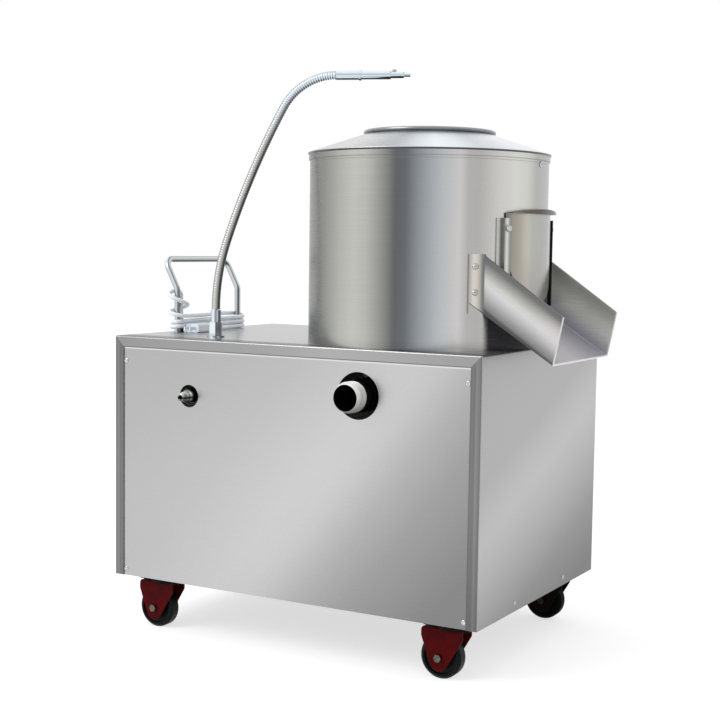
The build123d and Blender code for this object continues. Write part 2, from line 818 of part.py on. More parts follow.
def drain_pipe():
    """Pipe with a coarse outside thread, drawn as rings, where the drain hose screws on."""
    y_in = drain_y - elbow_bend - pipe_stop - fit
    y_out = front - pipe_reach
    flat = thread_pitch * thread_flat_share
    points = [(pipe_bore, y_out), (pipe_radius, y_out)]
    for count in range(thread_count):
        y = y_out + pipe_stop + count * thread_pitch
        points.append((pipe_radius, y))
        points.append((thread_radius, y + flat / 2))
        points.append((thread_radius, y + flat * 3 / 2))
        points.append((pipe_radius, y + 2 * flat))
    points += [(pipe_radius, y_in), (pipe_bore, y_in)]
    face = make_face(Polyline(*points, close=True))
    ring = revolve(face, Axis.Y)
    return Pos(drain_x, 0, drain_z) * ring


# Water: hose nipple in front, bent pipe inside, threaded base on the deck
base_from_front = 84.0
base_x = inlet_x
base_y = front + base_from_front
water_radius = 9.0
water_bore = 6.0
water_bend = 30.0
nipple_reach = 50.0
nipple_radius = 11.0
nipple_bore = 7.0
barb_rise = 1.5
barb_pitch = 9.0
barb_count = 3
nipple_hex = 16.0
nipple_hex_length = 14.0
nipple_in = 12.0
base_flange_radius = 16.0
base_flange = 3.0
base_nut_radius = 13.0
base_nut_top = 28.0
base_stud_low = 16.0
stud_nut_radius = 14.0
stud_nut = 8.0
swivel_spigot_radius = 6.0
swivel_spigot = 14.0


def water_nipple():
    """Barbed hose nipple with its hexagon, joined to the inner pipe."""
    tip = front - nipple_reach
    y_hex = front + nipple_in
    points = [(nipple_bore, tip), (nipple_radius - barb_rise, tip)]
    for count in range(barb_count):
        y = tip + count * barb_pitch
        points.append((nipple_radius + barb_rise / 2, y + barb_pitch - barb_rise))
        points.append((nipple_radius - barb_rise, y + barb_pitch))
    points += [(nipple_radius - barb_rise, y_hex), (nipple_bore, y_hex)]
    turned = Pos(inlet_x, 0, inlet_z) * revolve(make_face(Polyline(*points, close=True)), Axis.Y)
    hexagon = extrude(Plane.XZ * RegularPolygon(nipple_hex, 6), -nipple_hex_length)
    hexagon -= pin_y(0, 0, -overrun, 2 * overrun, nipple_bore)
    hexagon = Pos(inlet_x, y_hex, inlet_z) * hexagon
    return turned + hexagon


def water_pipe():
    """Bent pipe from the nipple up to the threaded base."""
    y_start = front + nipple_in + nipple_hex_length
    z_end = deck_under - base_stud_low
    route = FilletPolyline((base_x, y_start, inlet_z), (base_x, base_y, inlet_z), (base_x, base_y, z_end),
                           radius=water_bend)
    start = Plane(origin=(base_x, y_start, inlet_z), z_dir=(0, 1, 0))
    return sweep(start * Circle(water_radius), path=route) - sweep(start * Circle(water_bore), path=route)


def gooseneck_base():
    """Threaded base: flange and hexagon on the deck, stud and lock nut under it."""
    base = post(base_x, base_y, deck, deck + base_flange, base_flange_radius)
    hexagon = extrude(RegularPolygon(base_nut_radius, 6), base_nut_top - base_flange)
    base += Pos(base_x, base_y, deck + base_flange) * hexagon
    base += post(base_x, base_y, deck_under - base_stud_low, deck, base_thread_radius)
    nut = extrude(RegularPolygon(stud_nut_radius, 6), -stud_nut)
    base += Pos(base_x, base_y, deck_under - gap) * nut
    base -= post(base_x, base_y, deck + base_nut_top - swivel_spigot - gap, deck + base_nut_top + overrun,
                 swivel_spigot_radius + bore_fit)
    base -= post(base_x, base_y, deck_under - 2 * base_stud_low, deck + base_nut_top, water_bore - barb_rise)
    return base


# Gooseneck: ribbed metal hose in a plane towards the drum's axis
collar_radius = 9.5
collar_top = 52.0
hose_radius = 7.5
hose_root = 6.6
hose_bore = 5.0
hose_turns = ((18.0, 400.0), (10.3, 1480.0), (61.7, 110.0))
rib_count = 66
bore_steps = 33
rib_root_shares = (0.0, 0.8)
rib_crest_shares = (0.3, 0.5)
nozzle_ring_radius = 10.0
ferrule_length = 42.0
ferrule_radius = 8.6
nozzle_ring = 4.0
barrel_length = 52.0
barrel_radius = 8.0
tip_length = 24.0
tip_radius = 6.0
outlet_length = 12.0
outlet_radius = 3.6
reach_angle = degrees(asin((drum_y - base_y) / hypot(drum_x - base_x, drum_y - base_y)))


def hose_stations():
    """Points and headings along the hose in its own plane, with its radius at each."""
    total = hose_length()
    pitch = total / rib_count
    marks = [(share, hose_root) for share in rib_root_shares]
    marks += [(share, hose_radius) for share in rib_crest_shares]
    marks = sorted(marks)
    stations = [((rib + share) * pitch, radius) for rib in range(rib_count) for share, radius in marks]
    stations.append((total, hose_root))
    return [(hose_at(length), radius) for length, radius in stations]


def hose_length():
    """The length along the hose's three arcs."""
    return sum(radians(turn) * radius for turn, radius in hose_turns)


def hose_at(length):
    """Reach, height and lean at a length along the three arcs."""
    reach = 0.0
    height = deck + collar_top
    lean = 0.0
    for turn, radius in hose_turns:
        run = radians(turn) * radius
        part = min(length, run) / radius
        reach += radius * (cos(lean) - cos(lean + part))
        height += radius * (sin(lean + part) - sin(lean))
        lean += part
        length -= run
        if length <= 0:
            break
    return reach, height, lean


def hose_plane(reach, height, lean):
    """A plane square to the hose, with its X axis steady across the bend."""
    turn = radians(reach_angle)
    origin = (base_x + reach * cos(turn), base_y + reach * sin(turn), height)
    heading = (sin(lean) * cos(turn), sin(lean) * sin(turn), cos(lean))
    return Plane(origin=origin, x_dir=(-sin(turn), cos(turn), 0), z_dir=heading)


def gooseneck_hose():
    """Ribbed hose with its bore."""
    total = hose_length()
    rings = [hose_plane(*place) * Circle(radius) for place, radius in hose_stations()]
    bores = [hose_plane(*hose_at(total * step / bore_steps)) * Circle(hose_bore)
             for step in range(bore_steps + 1)]
    return loft(rings, ruled=True) - loft(bores, ruled=True)


def swivel_collar():
    """Collar at the foot of the hose, turning on its spigot in the base."""
    top = deck + collar_top
    low = deck + base_nut_top + gap
    collar = post(base_x, base_y, low, top, collar_radius)
    collar = chamfer(collar.edges().group_by(Axis.Z)[-1], sheet)
    collar += post(base_x, base_y, deck + base_nut_top - swivel_spigot, low, swivel_spigot_radius)
    return collar - post(base_x, base_y, deck, top + overrun, hose_bore - barb_rise)


def nozzle():
    """Ferrule, ring, barrel and narrow outlet at the end of the hose."""
    plane = hose_plane(*hose_at(hose_length()))
    y_ring = ferrule_length
    y_barrel = y_ring + nozzle_ring
    y_tip = y_barrel + barrel_length
    y_out = y_tip + tip_length
    y_end = y_out + outlet_length
    profile = Polyline(
        (hose_bore - barb_rise, 0), (ferrule_radius, 0), (ferrule_radius, y_ring),
        (nozzle_ring_radius, y_ring), (nozzle_ring_radius, y_barrel), (barrel_radius, y_barrel),
        (barrel_radius, y_tip), (tip_radius, y_tip + sheet), (tip_radius, y_out),
        (outlet_radius, y_out + sheet), (outlet_radius, y_end), (hose_bore - barb_rise - sheet, y_end),
        (hose_bore - barb_rise - sheet, y_tip), (hose_bore - barb_rise, y_tip - sheet), close=True,
    )
    turned = revolve(Plane.XZ * make_face(profile), Axis.Z)
    return plane.location * turned


# Push handle: one bent rod, standing on the deck by its two legs
handle_inset = 30.0
handle_x = left + handle_inset
handle_middle_y = -12.5
handle_half = 101.5
rod_radius = 6.0
handle_leg = 83.0
handle_rise = 58.0
handle_lean = 31.0
handle_bend = 20.0


def push_handle():
    """Rod bent up from the deck, out past the end and across."""
    near = handle_middle_y - handle_half
    far = handle_middle_y + handle_half
    knee = deck + handle_leg
    top = knee + handle_rise
    out = handle_x - handle_lean
    route = FilletPolyline(
        (handle_x, near, deck), (handle_x, near, knee), (out, near, top), (out, far, top),
        (handle_x, far, knee), (handle_x, far, deck), radius=handle_bend,
    )
    start = Plane(origin=(handle_x, near, deck), z_dir=(0, 0, 1))
    return sweep(start * Circle(rod_radius), path=route)


# Power cord: up the near leg inside the loops, wound down and round both legs, then the plug
cord_radius = 4.0
cord_gap = 0.8
cord_pitch = 2 * cord_radius + cord_gap
rod_clear = 0.9
strand_clear = 0.7
loop_radius = rod_radius + cord_radius + rod_clear
leg_loop_radius = 16.5
leg_loop_drops = (22.0, 16.0, 10.0)
fold_radius = leg_loop_radius / 2
grommet_radius = 5.2
grommet_height = 5.0
grommet_flange = 2.0
low_strand = deck + cord_radius + strand_clear
near_leg_y = handle_middle_y - handle_half
far_leg_y = handle_middle_y + handle_half
lead_shift = 11.5
grommet_y = near_leg_y + lead_shift
race_runs = 6
race_drops = [cord_pitch] + [cord_pitch / 2] * (race_runs - 2)
race_top = low_strand + sum(race_drops)
leg_top = race_top + sum(leg_loop_drops)
lead_top = leg_top - fold_radius
leg_loop_y = grommet_y - fold_radius
tail_start = 172.0
tail_start_y = near_leg_y + tail_start


def half_turn(x, y, z, radius, side, hand, drop):
    """A tilted half circle round an upright leg; side is +1 for the +Y end, hand is the way it winds."""
    start = (x - hand * side * radius, y, z)
    middle = (x, y + side * hypot(radius, drop / 2), z - drop / 2)
    end = (x + hand * side * radius, y, z - drop)
    return start, middle, end


def hank_edges():
    """The wound cord as one chain of lines and arcs, from the top of the lead to the tail."""
    edges = []
    top = (handle_x, grommet_y, lead_top)
    corner = (handle_x - fold_radius, grommet_y, leg_top)
    side = (handle_x - 2 * fold_radius, leg_loop_y, leg_top)
    edges.append(Edge.make_tangent_arc(top, (0, 0, 1), corner))
    edges.append(Edge.make_tangent_arc(corner, (-1, 0, 0), side))
    z = leg_top
    for count, drop in enumerate(leg_loop_drops):
        side = -1 if count % 2 == 0 else 1
        points = half_turn(handle_x, leg_loop_y, z, leg_loop_radius, side, -1, drop)
        edges.append(Edge.make_three_point_arc(*points))
        z -= drop
    start = Vector(handle_x + leg_loop_radius, leg_loop_y, z)
    end = Vector(handle_x - loop_radius, far_leg_y, z)
    edges += shift_run(start, end, 1)
    for count, drop in enumerate(race_drops):
        far_end = count % 2 == 0
        side = 1 if far_end else -1
        y = far_leg_y if far_end else near_leg_y
        points = half_turn(handle_x, y, z, loop_radius, side, 1, drop)
        edges.append(Edge.make_three_point_arc(*points))
        z -= drop
        x = handle_x + side * loop_radius
        last = count == len(race_drops) - 1
        y_end = near_leg_y if far_end else far_leg_y
        if last:
            y_end = tail_start_y
        edges.append(Edge.make_line((x, y, z), (x, y_end, z)))
    return edges


def shift_run(start, end, heading):
    """Two equal opposite arcs between two points, both headed along Y at their ends."""
    middle = (start + end) / 2
    edges = [Edge.make_tangent_arc(start, Vector(0, heading, 0), middle)]
    edges.append(Edge.make_tangent_arc(middle, edges[0] % 1, end))
    return edges


def swept_cord(edges):
    """A round cord along a chain of edges."""
    route = Wire(edges)
    start = edges[0] @ 0
    section = Plane(origin=start, z_dir=edges[0] % 0) * Circle(cord_radius)
    return sweep(section, path=route)


def least_gap(edges, step):
    """The least clear gap between turns, measured on points a step apart along the cord."""
    points = []
    length = 0.0
    for edge in edges:
        count = max(2, int(edge.length / step))
        for index in range(count):
            points.append((length + edge.length * index / count, edge @ (index / count)))
        length += edge.length
    least = cabinet_width
    for index, (s, p) in enumerate(points):
        for t, q in points[index + 1:]:
            if t - s > cord_pitch * 3:
                least = min(least, (p - q).length)
    return least - 2 * cord_radius


def cord_hank():
    """The wound part of the cord."""
    edges = hank_edges()
    print("cord hank least gap", round(least_gap(edges, cord_radius), 2))
    print("cord hank length", round(sum(edge.length for edge in edges), 1))
    return swept_cord(edges)


def cord_lead():
    """The cord from its grommet straight up beside the near leg."""
    return post(handle_x, grommet_y, deck + grommet_height + grommet_flange, lead_top, cord_radius)


def cord_grommet():
    """Rubber grommet in the deck, where the cord comes out."""
    top = deck + grommet_height + grommet_flange
    ring = post(handle_x, grommet_y, deck, deck + grommet_flange, grommet_radius)
    ring += post(handle_x, grommet_y, deck, top, cord_radius + cord_gap)
    ring += post(handle_x, grommet_y, deck_under - grommet_flange, deck, grommet_hole_radius - fit)
    return ring


plug_length = 40.0
plug_width = 30.0
plug_height = 17.0
plug_round = 5.0
plug_neck = 14.0
plug_neck_radius = 5.5
pin_length = 17.0
pin_thick = 1.8
pin_width = 6.0
pin_half = 6.5
neck_slot = 1.6
neck_slots = 3
tail_out = 20.0
tail_runs = (26.0, 34.0, 30.0, 22.0)
tail_up = gap + plug_height / 2 - (low_strand - deck)
tail_out_share = 0.94
tail_up_share = 0.11
cord_arc_share = 0.45


def tail_points():
    """The free end of the cord: points of its route from the hank to the plug."""
    x = handle_x + loop_radius
    y = tail_start_y
    z = low_strand
    first, second, third, last = tail_runs
    return [
        (x, y, z),
        (x, y - first, z),
        (x + tail_out * tail_out_share, y - first - second, z + tail_up * tail_up_share),
        (x + tail_out, y - first - second - third, z + tail_up),
        (x + tail_out, y - first - second - third - last, z + tail_up),
    ]


def cord_tail():
    """The free stretch between the hank and the plug."""
    points = [Vector(*p) for p in tail_points()]
    radii = []
    for before, point, after in zip(points, points[1:], points[2:]):
        first = point - before
        second = after - point
        turn = radians(first.get_angle(second))
        radii.append(cord_arc_share * min(first.length, second.length) / tan(turn / 2))
    print("cord tail radii", [round(radius, 1) for radius in radii])
    route = FilletPolyline(*[tuple(p) for p in points], radius=radii)
    start = Plane(origin=points[0], z_dir=points[1] - points[0])
    tail = sweep(start * Circle(cord_radius), path=route)
    print("cord tail length", round(route.length, 1))
    return tail


def cord_plug():
    """Moulded flat plug lying beside the loops, with a ribbed neck and two blades."""
    x, y, z = tail_points()[-1]
    body_back = y - plug_neck
    body_front = body_back - plug_length
    body = block(x - plug_width / 2, x + plug_width / 2, body_front, body_back,
                 z - plug_height / 2, z + plug_height / 2)
    body = fillet(body.edges().filter_by(Axis.Y), plug_round)
    neck = pin_y(x, z, body_back, y, plug_neck_radius)
    for count in range(neck_slots):
        y_slot = body_back + neck_slot * (1 + 2 * count)
        ring = pin_y(x, z, y_slot, y_slot + neck_slot, plug_neck_radius + fit)
        neck -= ring - pin_y(x, z, y_slot - fit, y_slot + neck_slot + fit, plug_neck_radius - sheet / 2)
    plug = body + neck
    for dx in (-pin_half, pin_half):
        plug += block(x + dx - pin_thick / 2, x + dx + pin_thick / 2, body_front - pin_length, body_front,
                      z - pin_width / 2, z + pin_width / 2)
    return plug


# Drum: rolled wall with the discharge port, liner, spun cover and feed ring
drum_foot = 13.0
port_half = 70.0
port_top_rise = 217.0
port_middle_rise = 182.0
port_top = deck + port_top_rise
port_middle = deck + port_middle_rise
liner_low = deck + sheet + pan_rim + gap
cover_flange = 28.0
liner_top = rim - cover_flange - gap
skirt = 12.0
bead_radius = 1.9
cover_rise = 34.0
ring_radius = 118.0
ring_roll = 4.0
ring_height = 9.0
ring_wall = 2.0
cover_screw_drop = 19.0
cover_screw_angles = (1.0, 181.0)
drum_screw_radius = 2.5
drum_screw_head_radius = 5.0
drum_screw_head = 3.0


def tongue(half, middle, top, x0, x1):
    """A bar along X with the outline of the port: straight sides and a round bottom."""
    low = Pos((x0 + x1) / 2, drum_y, middle) * Rot(0, 90, 0) * Cylinder(half, x1 - x0)
    low &= block(x0, x1, drum_y - half, drum_y + half, middle - half, middle)
    return low + block(x0, x1, drum_y - half, drum_y + half, middle, top)


def port_cutter():
    """The discharge port, cut through the drum's +X side."""
    return tongue(port_half, port_middle, port_top, drum_x + drum_radius / 2, drum_x + 2 * drum_radius)


def drum_screw(angle, z, tip, seat):
    """A pan-head screw square to the drum's wall, from its tip to its head's seat."""
    screw = pin_x(0, 0, tip, seat, drum_screw_radius)
    screw += pin_x(0, 0, seat, seat + drum_screw_head, drum_screw_head_radius)
    return Pos(drum_x, drum_y, z) * Rot(0, 0, angle) * screw


def drum_hole(angle, z, radius):
    """A hole square to the drum's wall."""
    bar = pin_x(0, 0, drum_radius - overrun, drum_radius + overrun, radius)
    return Pos(drum_x, drum_y, z) * Rot(0, 0, angle) * bar


def drum_shell():
    """Rolled wall with a foot turned inwards, and the round-bottomed port."""
    shell = tube(drum_x, drum_y, deck, rim, drum_radius, drum_radius - sheet)
    shell += tube(drum_x, drum_y, deck, deck + sheet, drum_radius, drum_radius - drum_foot)
    shell -= port_cutter()
    for angle, z in chute_screw_places() + cover_screw_places():
        shell -= drum_hole(angle, z, drum_screw_radius + fit)
    return shell


def drum_liner():
    """Abrasive sleeve inside the wall, open at the port."""
    outer = drum_radius - sheet - gap
    sleeve = tube(drum_x, drum_y, liner_low, liner_top, outer, outer - liner_thick)
    return sleeve - port_cutter()


def top_cover():
    """Spun cone with a rolled rim, a skirt outside the drum's wall and a flange inside it."""
    skirt_in = drum_radius + fit
    skirt_out = skirt_in + sheet
    flange_out = drum_radius - sheet - fit
    cone_top = rim + cover_rise
    points = [
        (skirt_in, rim - skirt), (skirt_out, rim - skirt), (skirt_out, rim + bead_radius),
        (ring_radius + ring_wall, cone_top), (ring_radius - ring_wall, cone_top),
        (ring_radius - ring_wall, cone_top - sheet), (ring_radius, cone_top - sheet),
        (flange_out - sheet, rim), (flange_out - sheet, rim - cover_flange),
        (flange_out, rim - cover_flange), (flange_out, rim), (skirt_in, rim),
    ]
    cover = revolve(Plane.XZ * make_face(Polyline(*points, close=True)), Axis.Z)
    cover += Pos(0, 0, rim) * Torus(skirt_out, bead_radius)
    cover = Pos(drum_x, drum_y, 0) * cover
    for angle, z in cover_screw_places():
        cover -= drum_hole(angle, z, drum_screw_radius + fit)
    return cover


def feed_ring():
    """Short neck of the feed inlet with a rolled edge."""
    low = rim + cover_rise
    outer = ring_radius - ring_roll
    roll = Pos(drum_x, drum_y, low + ring_height - ring_roll) * Torus(outer, ring_roll)
    return roll + tube(drum_x, drum_y, low, low + ring_height - ring_roll, outer + ring_wall, outer)


def cover_screw_places():
    """Angle and height of the screws that hold the cover's inner flange."""
    return [(angle, rim - cover_screw_drop) for angle in cover_screw_angles]


# Discharge: rubber behind the gate, side guides, the gate itself and the chute
rubber = 2.0
rubber_angle = 26.7
rubber_rise = 75.0
guide_top_rise = 222.0
guide_low_rise = 70.0
rubber_low = deck + rubber_rise
guide_top = deck + guide_top_rise
guide_low = deck + guide_low_rise
guide_wall_angle = 28.1
guide_flange_angle = 31.0
guide_lip_angle = 24.6
guide_sheet = 2.0
guide_depth = 9.5
gate_angle = 26.3
gate_half = 95.0
gate_middle_rise = 174.0
gate_top_rise = 231.0
gate_middle = deck + gate_middle_rise
gate_top = deck + gate_top_rise
gate_gap = 0.4
gate_sheet = 2.0
gate_lip = 10.0
gate_lip_angle = 23.5
gate_lip_round = 6.0
gate_hem = 8.0
gate_hem_arc = 560.0
lock_screw_rise = 205.0
lock_screw_z = deck + lock_screw_rise
lock_screw_angle = 26.1
lock_knob_radius = 5.5
lock_knob = 5.0
lock_knob_edge = 1.0
lock_screw_radius = 2.5
chute_half_share = 43 / 71
chute_half = drum_radius * chute_half_share
chute_sheet = 2.0
chute_top_rise = 161.4
chute_low_rise = 63.0
chute_out_top = 101.0
chute_out_low = 85.0
chute_reach_top = drum_radius + chute_out_top
chute_reach_low = drum_radius + chute_out_low
chute_lip_top_rise = 61.0
chute_lip_drop = 18.4
chute_flange_angle = 44.6
chute_flange_cut = 18.0
chute_flange_lap = 1.0
chute_screw_angle = 41.3
chute_screw_rises = (141.0, 98.0)
chute_top_z = deck + chute_top_rise
chute_low_z = deck + chute_low_rise
chute_lip_top_z = deck + chute_lip_top_rise
chute_lip_low_z = deck - chute_lip_drop


def chute_screw_places():
    """Angle and height of the screws through the chute's flanges."""
    return [(side * chute_screw_angle, deck + rise) for side in (-1, 1) for rise in chute_screw_rises]


def port_rubber():
    """Rubber sheet on the wall between the guides, open at the port."""
    inner = drum_radius + fit
    sheet_rubber = drum_arc(inner, inner + rubber, -rubber_angle, rubber_angle, rubber_low, guide_top)
    return sheet_rubber - port_cutter()


def gate_guides():
    """A folded strip on each side: flange on the wall, web, and a lip over the gate's edge."""
    guides = []
    inner = drum_radius + fit
    for side in (-1, 1):
        web = sorted((side * guide_wall_angle, side * (guide_wall_angle - degrees(guide_sheet / inner))))
        flange = sorted((side * guide_flange_angle, side * (guide_wall_angle - degrees(guide_sheet / inner))))
        lip = sorted((side * guide_wall_angle, side * guide_lip_angle))
        outer = inner + guide_depth
        guide = drum_arc(inner, inner + guide_sheet, *flange, guide_low, guide_top)
        guide += drum_arc(inner, outer, *web, guide_low, guide_top)
        guide += drum_arc(outer - guide_sheet, outer, *lip, guide_low, guide_top)
        guide -= drum_hole(side * lock_screw_angle, lock_screw_z, lock_screw_radius + fit)
        guide -= chute_space()
        guides.append(guide)
    return Compound(guides)


def lock_screws():
    """Thumb screws in the guides' lips that hold the gate where it is set."""
    screws = []
    outer = drum_radius + fit + guide_depth
    tip = drum_radius + fit + rubber + gate_gap + gate_sheet + gap
    knob = pin_x(0, 0, outer, outer + lock_knob, lock_knob_radius)
    knob = chamfer(knob.edges().group_by(Axis.X)[-1], lock_knob_edge)
    screw = knob + pin_x(0, 0, tip, outer, lock_screw_radius)
    for side in (-1, 1):
        screws.append(Pos(drum_x, drum_y, lock_screw_z) * Rot(0, 0, side * lock_screw_angle) * screw)
    return Compound(screws)


def gate():
    """Curved plate with a round bottom, and a pull flange with an arched hem along its top."""
    inner = drum_radius + fit + rubber + gate_gap
    outer = inner + gate_sheet
    plate = drum_arc(inner, outer, -gate_angle, gate_angle, gate_middle - gate_half, gate_top)
    plate &= tongue(gate_half, gate_middle, gate_top + overrun, drum_x, drum_x + 2 * drum_radius)
    lip = drum_arc(inner, outer + gate_lip, -gate_lip_angle, gate_lip_angle, gate_top, gate_top + gate_sheet)
    corners = lip.edges().filter_by(Axis.Z).sort_by(Axis.X)[-2:]
    lip = fillet(corners, gate_lip_round)
    reach = outer + gate_lip
    hem = drum_arc(reach - gate_sheet, reach, -gate_lip_angle, gate_lip_angle, gate_top, gate_top + gate_hem)
    crown = Pos(drum_x + reach, drum_y, gate_top + gate_hem - gate_hem_arc) * Rot(0, 90, 0)
    hem &= crown * Cylinder(gate_hem_arc, 2 * reach)
    hem &= lip_outline(reach)
    return plate + lip + hem


def lip_outline(reach):
    """The pull flange's outline with its rounded ends, as a tall bar."""
    bar = drum_arc(drum_radius, reach, -gate_lip_angle, gate_lip_angle, gate_top, gate_top + gate_hem)
    corners = bar.edges().filter_by(Axis.Z).sort_by(Axis.X)[-2:]
    return fillet(corners, gate_lip_round)


def chute_profile(lift):
    """The chute's side outline, raised by a sheet's thickness for its inside."""
    slope = (chute_lip_low_z - chute_low_z) / (chute_reach_low - chute_start())
    rise = lift * sqrt(1 + slope * slope)
    open_out = overrun if lift else 0
    return [
        (drum_x + chute_start() - overrun, chute_low_z + rise - overrun * slope),
        (drum_x + chute_start() - overrun, chute_top_z + open_out + overrun),
        (drum_x + chute_start(), chute_top_z + open_out),
        (drum_x + chute_reach_top + open_out, chute_lip_top_z + open_out),
        (drum_x + chute_reach_low + open_out, chute_lip_low_z + rise + open_out * slope),
    ]


def chute_start():
    """How far out from the drum's axis the chute's side walls begin."""
    return sqrt(drum_radius ** 2 - chute_half ** 2)


def chute_space():
    """The wedge under the chute's floor, where nothing else may reach."""
    outline = [
        (drum_x, chute_low_z - 2 * overrun), (drum_x, chute_low_z + overrun),
        (drum_x + drum_radius, chute_low_z - gap), (drum_x + 2 * drum_radius, chute_low_z - 2 * drum_radius),
    ]
    return run_along_y(outline, drum_y - drum_radius, drum_y + drum_radius)


def chute():
    """Folded open chute: sloping floor, two sides and flanges on the drum's wall."""
    outer = run_along_y(chute_profile(0), drum_y - chute_half, drum_y + chute_half)
    inner_half = chute_half - chute_sheet
    inner = run_along_y(chute_profile(chute_sheet), drum_y - inner_half, drum_y + inner_half)
    body = outer - inner
    wall = drum_radius + fit
    body -= post(drum_x, drum_y, deck - 2 * overrun, rim, wall)
    edge = degrees(asin(chute_half / drum_radius))
    for side in (-1, 1):
        angles = sorted((side * (edge - chute_flange_lap), side * chute_flange_angle))
        flange = drum_arc(wall, wall + chute_sheet, *angles, chute_low_z, chute_top_z)
        cut_y = drum_y + side * drum_radius * sin(radians(chute_flange_angle))
        start_y = drum_y + side * chute_half
        corner = make_face(Polyline((start_y, chute_low_z), (cut_y, chute_low_z),
                                    (cut_y, chute_low_z + chute_flange_cut), close=True))
        flange -= extrude(Plane.YZ.offset(drum_x) * corner, 2 * drum_radius)
        body += flange
    for angle, z in chute_screw_places():
        body -= drum_hole(angle, z, drum_screw_radius + fit)
    return body


def drum_screws():
    """Pan-head screws of the chute's flanges and of the cover."""
    tip = drum_radius - sheet
    flange = drum_radius + fit + chute_sheet
    screws = [drum_screw(angle, z, tip, flange) for angle, z in chute_screw_places()]
    screws += [drum_screw(angle, z, tip - fit - sheet, drum_radius) for angle, z in cover_screw_places()]
    return Compound(screws)


# Push buttons: two spring buttons in bezels through the end sheet
bezel_radius = 15.0
bezel = 3.0
button_radius = 8.5
button_out = 4.0
button_edge = 1.0
button_travel = 3.5
contact_length = 38.0
contact_half = 14.0
holder_radius = 10.9
button_stem = 18.0


def button_holders():
    """Bezel outside, threaded barrel through the sheet and contact block inside, for each button."""
    holders = []
    for z in button_heights:
        holder = pin_x(button_y, z, left - bezel, left, bezel_radius)
        holder += pin_x(button_y, z, left, left + sheet, holder_radius)
        inside = left + sheet
        holder += block(inside, inside + contact_length, button_y - contact_half, button_y + contact_half,
                        z - contact_half, z + contact_half)
        room = left - bezel + button_stem + button_travel + gap
        holder -= pin_x(button_y, z, left - bezel - overrun, room, button_radius + fit)
        holders.append(holder)
    return Compound(holders)


def push_button(z):
    """One button with its stem."""
    cap = pin_x(button_y, z, left - bezel - button_out, left - bezel + button_stem, button_radius)
    return chamfer(cap.edges().group_by(Axis.X)[0], button_edge)


# Where the origin lies: under the middle of the whole machine
far_left = min(handle_x - handle_lean - rod_radius, left - bezel - button_out)
far_right = drum_x + chute_reach_top
far_front = front - max(nipple_reach, pipe_reach)
origin_x = (far_left + far_right) / 2
origin_y = (far_front + back) / 2

parts["cabinet_shell"] = cabinet_shell()
parts["front_panel"] = front_panel()
parts["rear_panel"] = rear_panel()
parts["panel_screws"] = panel_screws()
parts["base_frame"] = base_frame()
parts["caster_bolts"] = caster_bolts()
parts["frame_bolts"] = frame_bolts()
parts["drum_shell"] = drum_shell()
parts["drum_liner"] = drum_liner()
parts["drum_floor"] = drum_floor()
parts["top_cover"] = top_cover()
parts["feed_ring"] = feed_ring()
parts["port_rubber"] = port_rubber()
parts["gate_guides"] = gate_guides()
parts["lock_screws"] = lock_screws()
parts["gate"] = gate()
parts["chute"] = chute()
parts["drum_screws"] = drum_screws()
parts["bearing_housing"] = bearing_housing()
parts["bearings"] = bearings()
parts["shaft_seal"] = shaft_seal()
parts["spindle_shaft"] = spindle_shaft()
parts["peeling_disc"] = peeling_disc()
parts["disc_nut"] = disc_nut()
parts["drum_pulley"] = drum_pulley()
parts["v_belt"] = v_belt()
parts["motor_bracket"] = motor_bracket()
parts["motor_body"] = motor_body() + motor_terminal_box()
parts["motor_shaft"] = motor_shaft()
parts["motor_pulley"] = grooved_wheel(motor_x, motor_y, motor_pitch_radius, motor_shaft_radius + fit)
parts["drain_elbow"] = drain_elbow()
parts["drain_pipe"] = drain_pipe()
parts["water_nipple"] = water_nipple()
parts["water_pipe"] = water_pipe()
parts["gooseneck_base"] = gooseneck_base()
parts["swivel_collar"] = swivel_collar()
parts["gooseneck_hose"] = gooseneck_hose()
parts["nozzle"] = nozzle()
parts["push_handle"] = push_handle()
parts["cord_grommet"] = cord_grommet()
parts["cord_lead"] = cord_lead()
parts["cord_hank"] = cord_hank()
parts["cord_tail"] = cord_tail()
parts["cord_plug"] = cord_plug()
parts["button_holders"] = button_holders()
parts["start_button"] = push_button(button_heights[0])
parts["stop_button"] = push_button(button_heights[1])

os.makedirs("parts", exist_ok=True)
for name, shape in parts.items():
    placed = Pos(-origin_x, -origin_y, 0) * shape
    export_step(placed, "parts/" + name + ".step")
print(len(parts), "nodes")
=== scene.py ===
from math import asin, cos, hypot, pi, radians, sin

import bpy
from mathutils import Matrix, Vector


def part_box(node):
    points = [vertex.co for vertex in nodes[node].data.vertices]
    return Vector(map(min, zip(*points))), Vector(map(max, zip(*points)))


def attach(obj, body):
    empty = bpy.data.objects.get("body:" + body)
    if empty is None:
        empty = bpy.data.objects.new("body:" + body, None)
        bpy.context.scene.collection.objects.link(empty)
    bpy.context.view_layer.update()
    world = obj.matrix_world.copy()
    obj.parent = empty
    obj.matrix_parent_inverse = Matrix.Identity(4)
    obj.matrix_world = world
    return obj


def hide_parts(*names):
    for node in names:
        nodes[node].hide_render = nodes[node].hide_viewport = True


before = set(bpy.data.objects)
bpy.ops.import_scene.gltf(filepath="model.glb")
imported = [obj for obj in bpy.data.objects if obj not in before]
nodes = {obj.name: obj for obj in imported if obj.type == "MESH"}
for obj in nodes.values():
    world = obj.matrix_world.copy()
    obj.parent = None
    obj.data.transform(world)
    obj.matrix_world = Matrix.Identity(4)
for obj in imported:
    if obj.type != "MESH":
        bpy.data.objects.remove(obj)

scene = bpy.context.scene
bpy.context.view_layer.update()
mm = 0.001


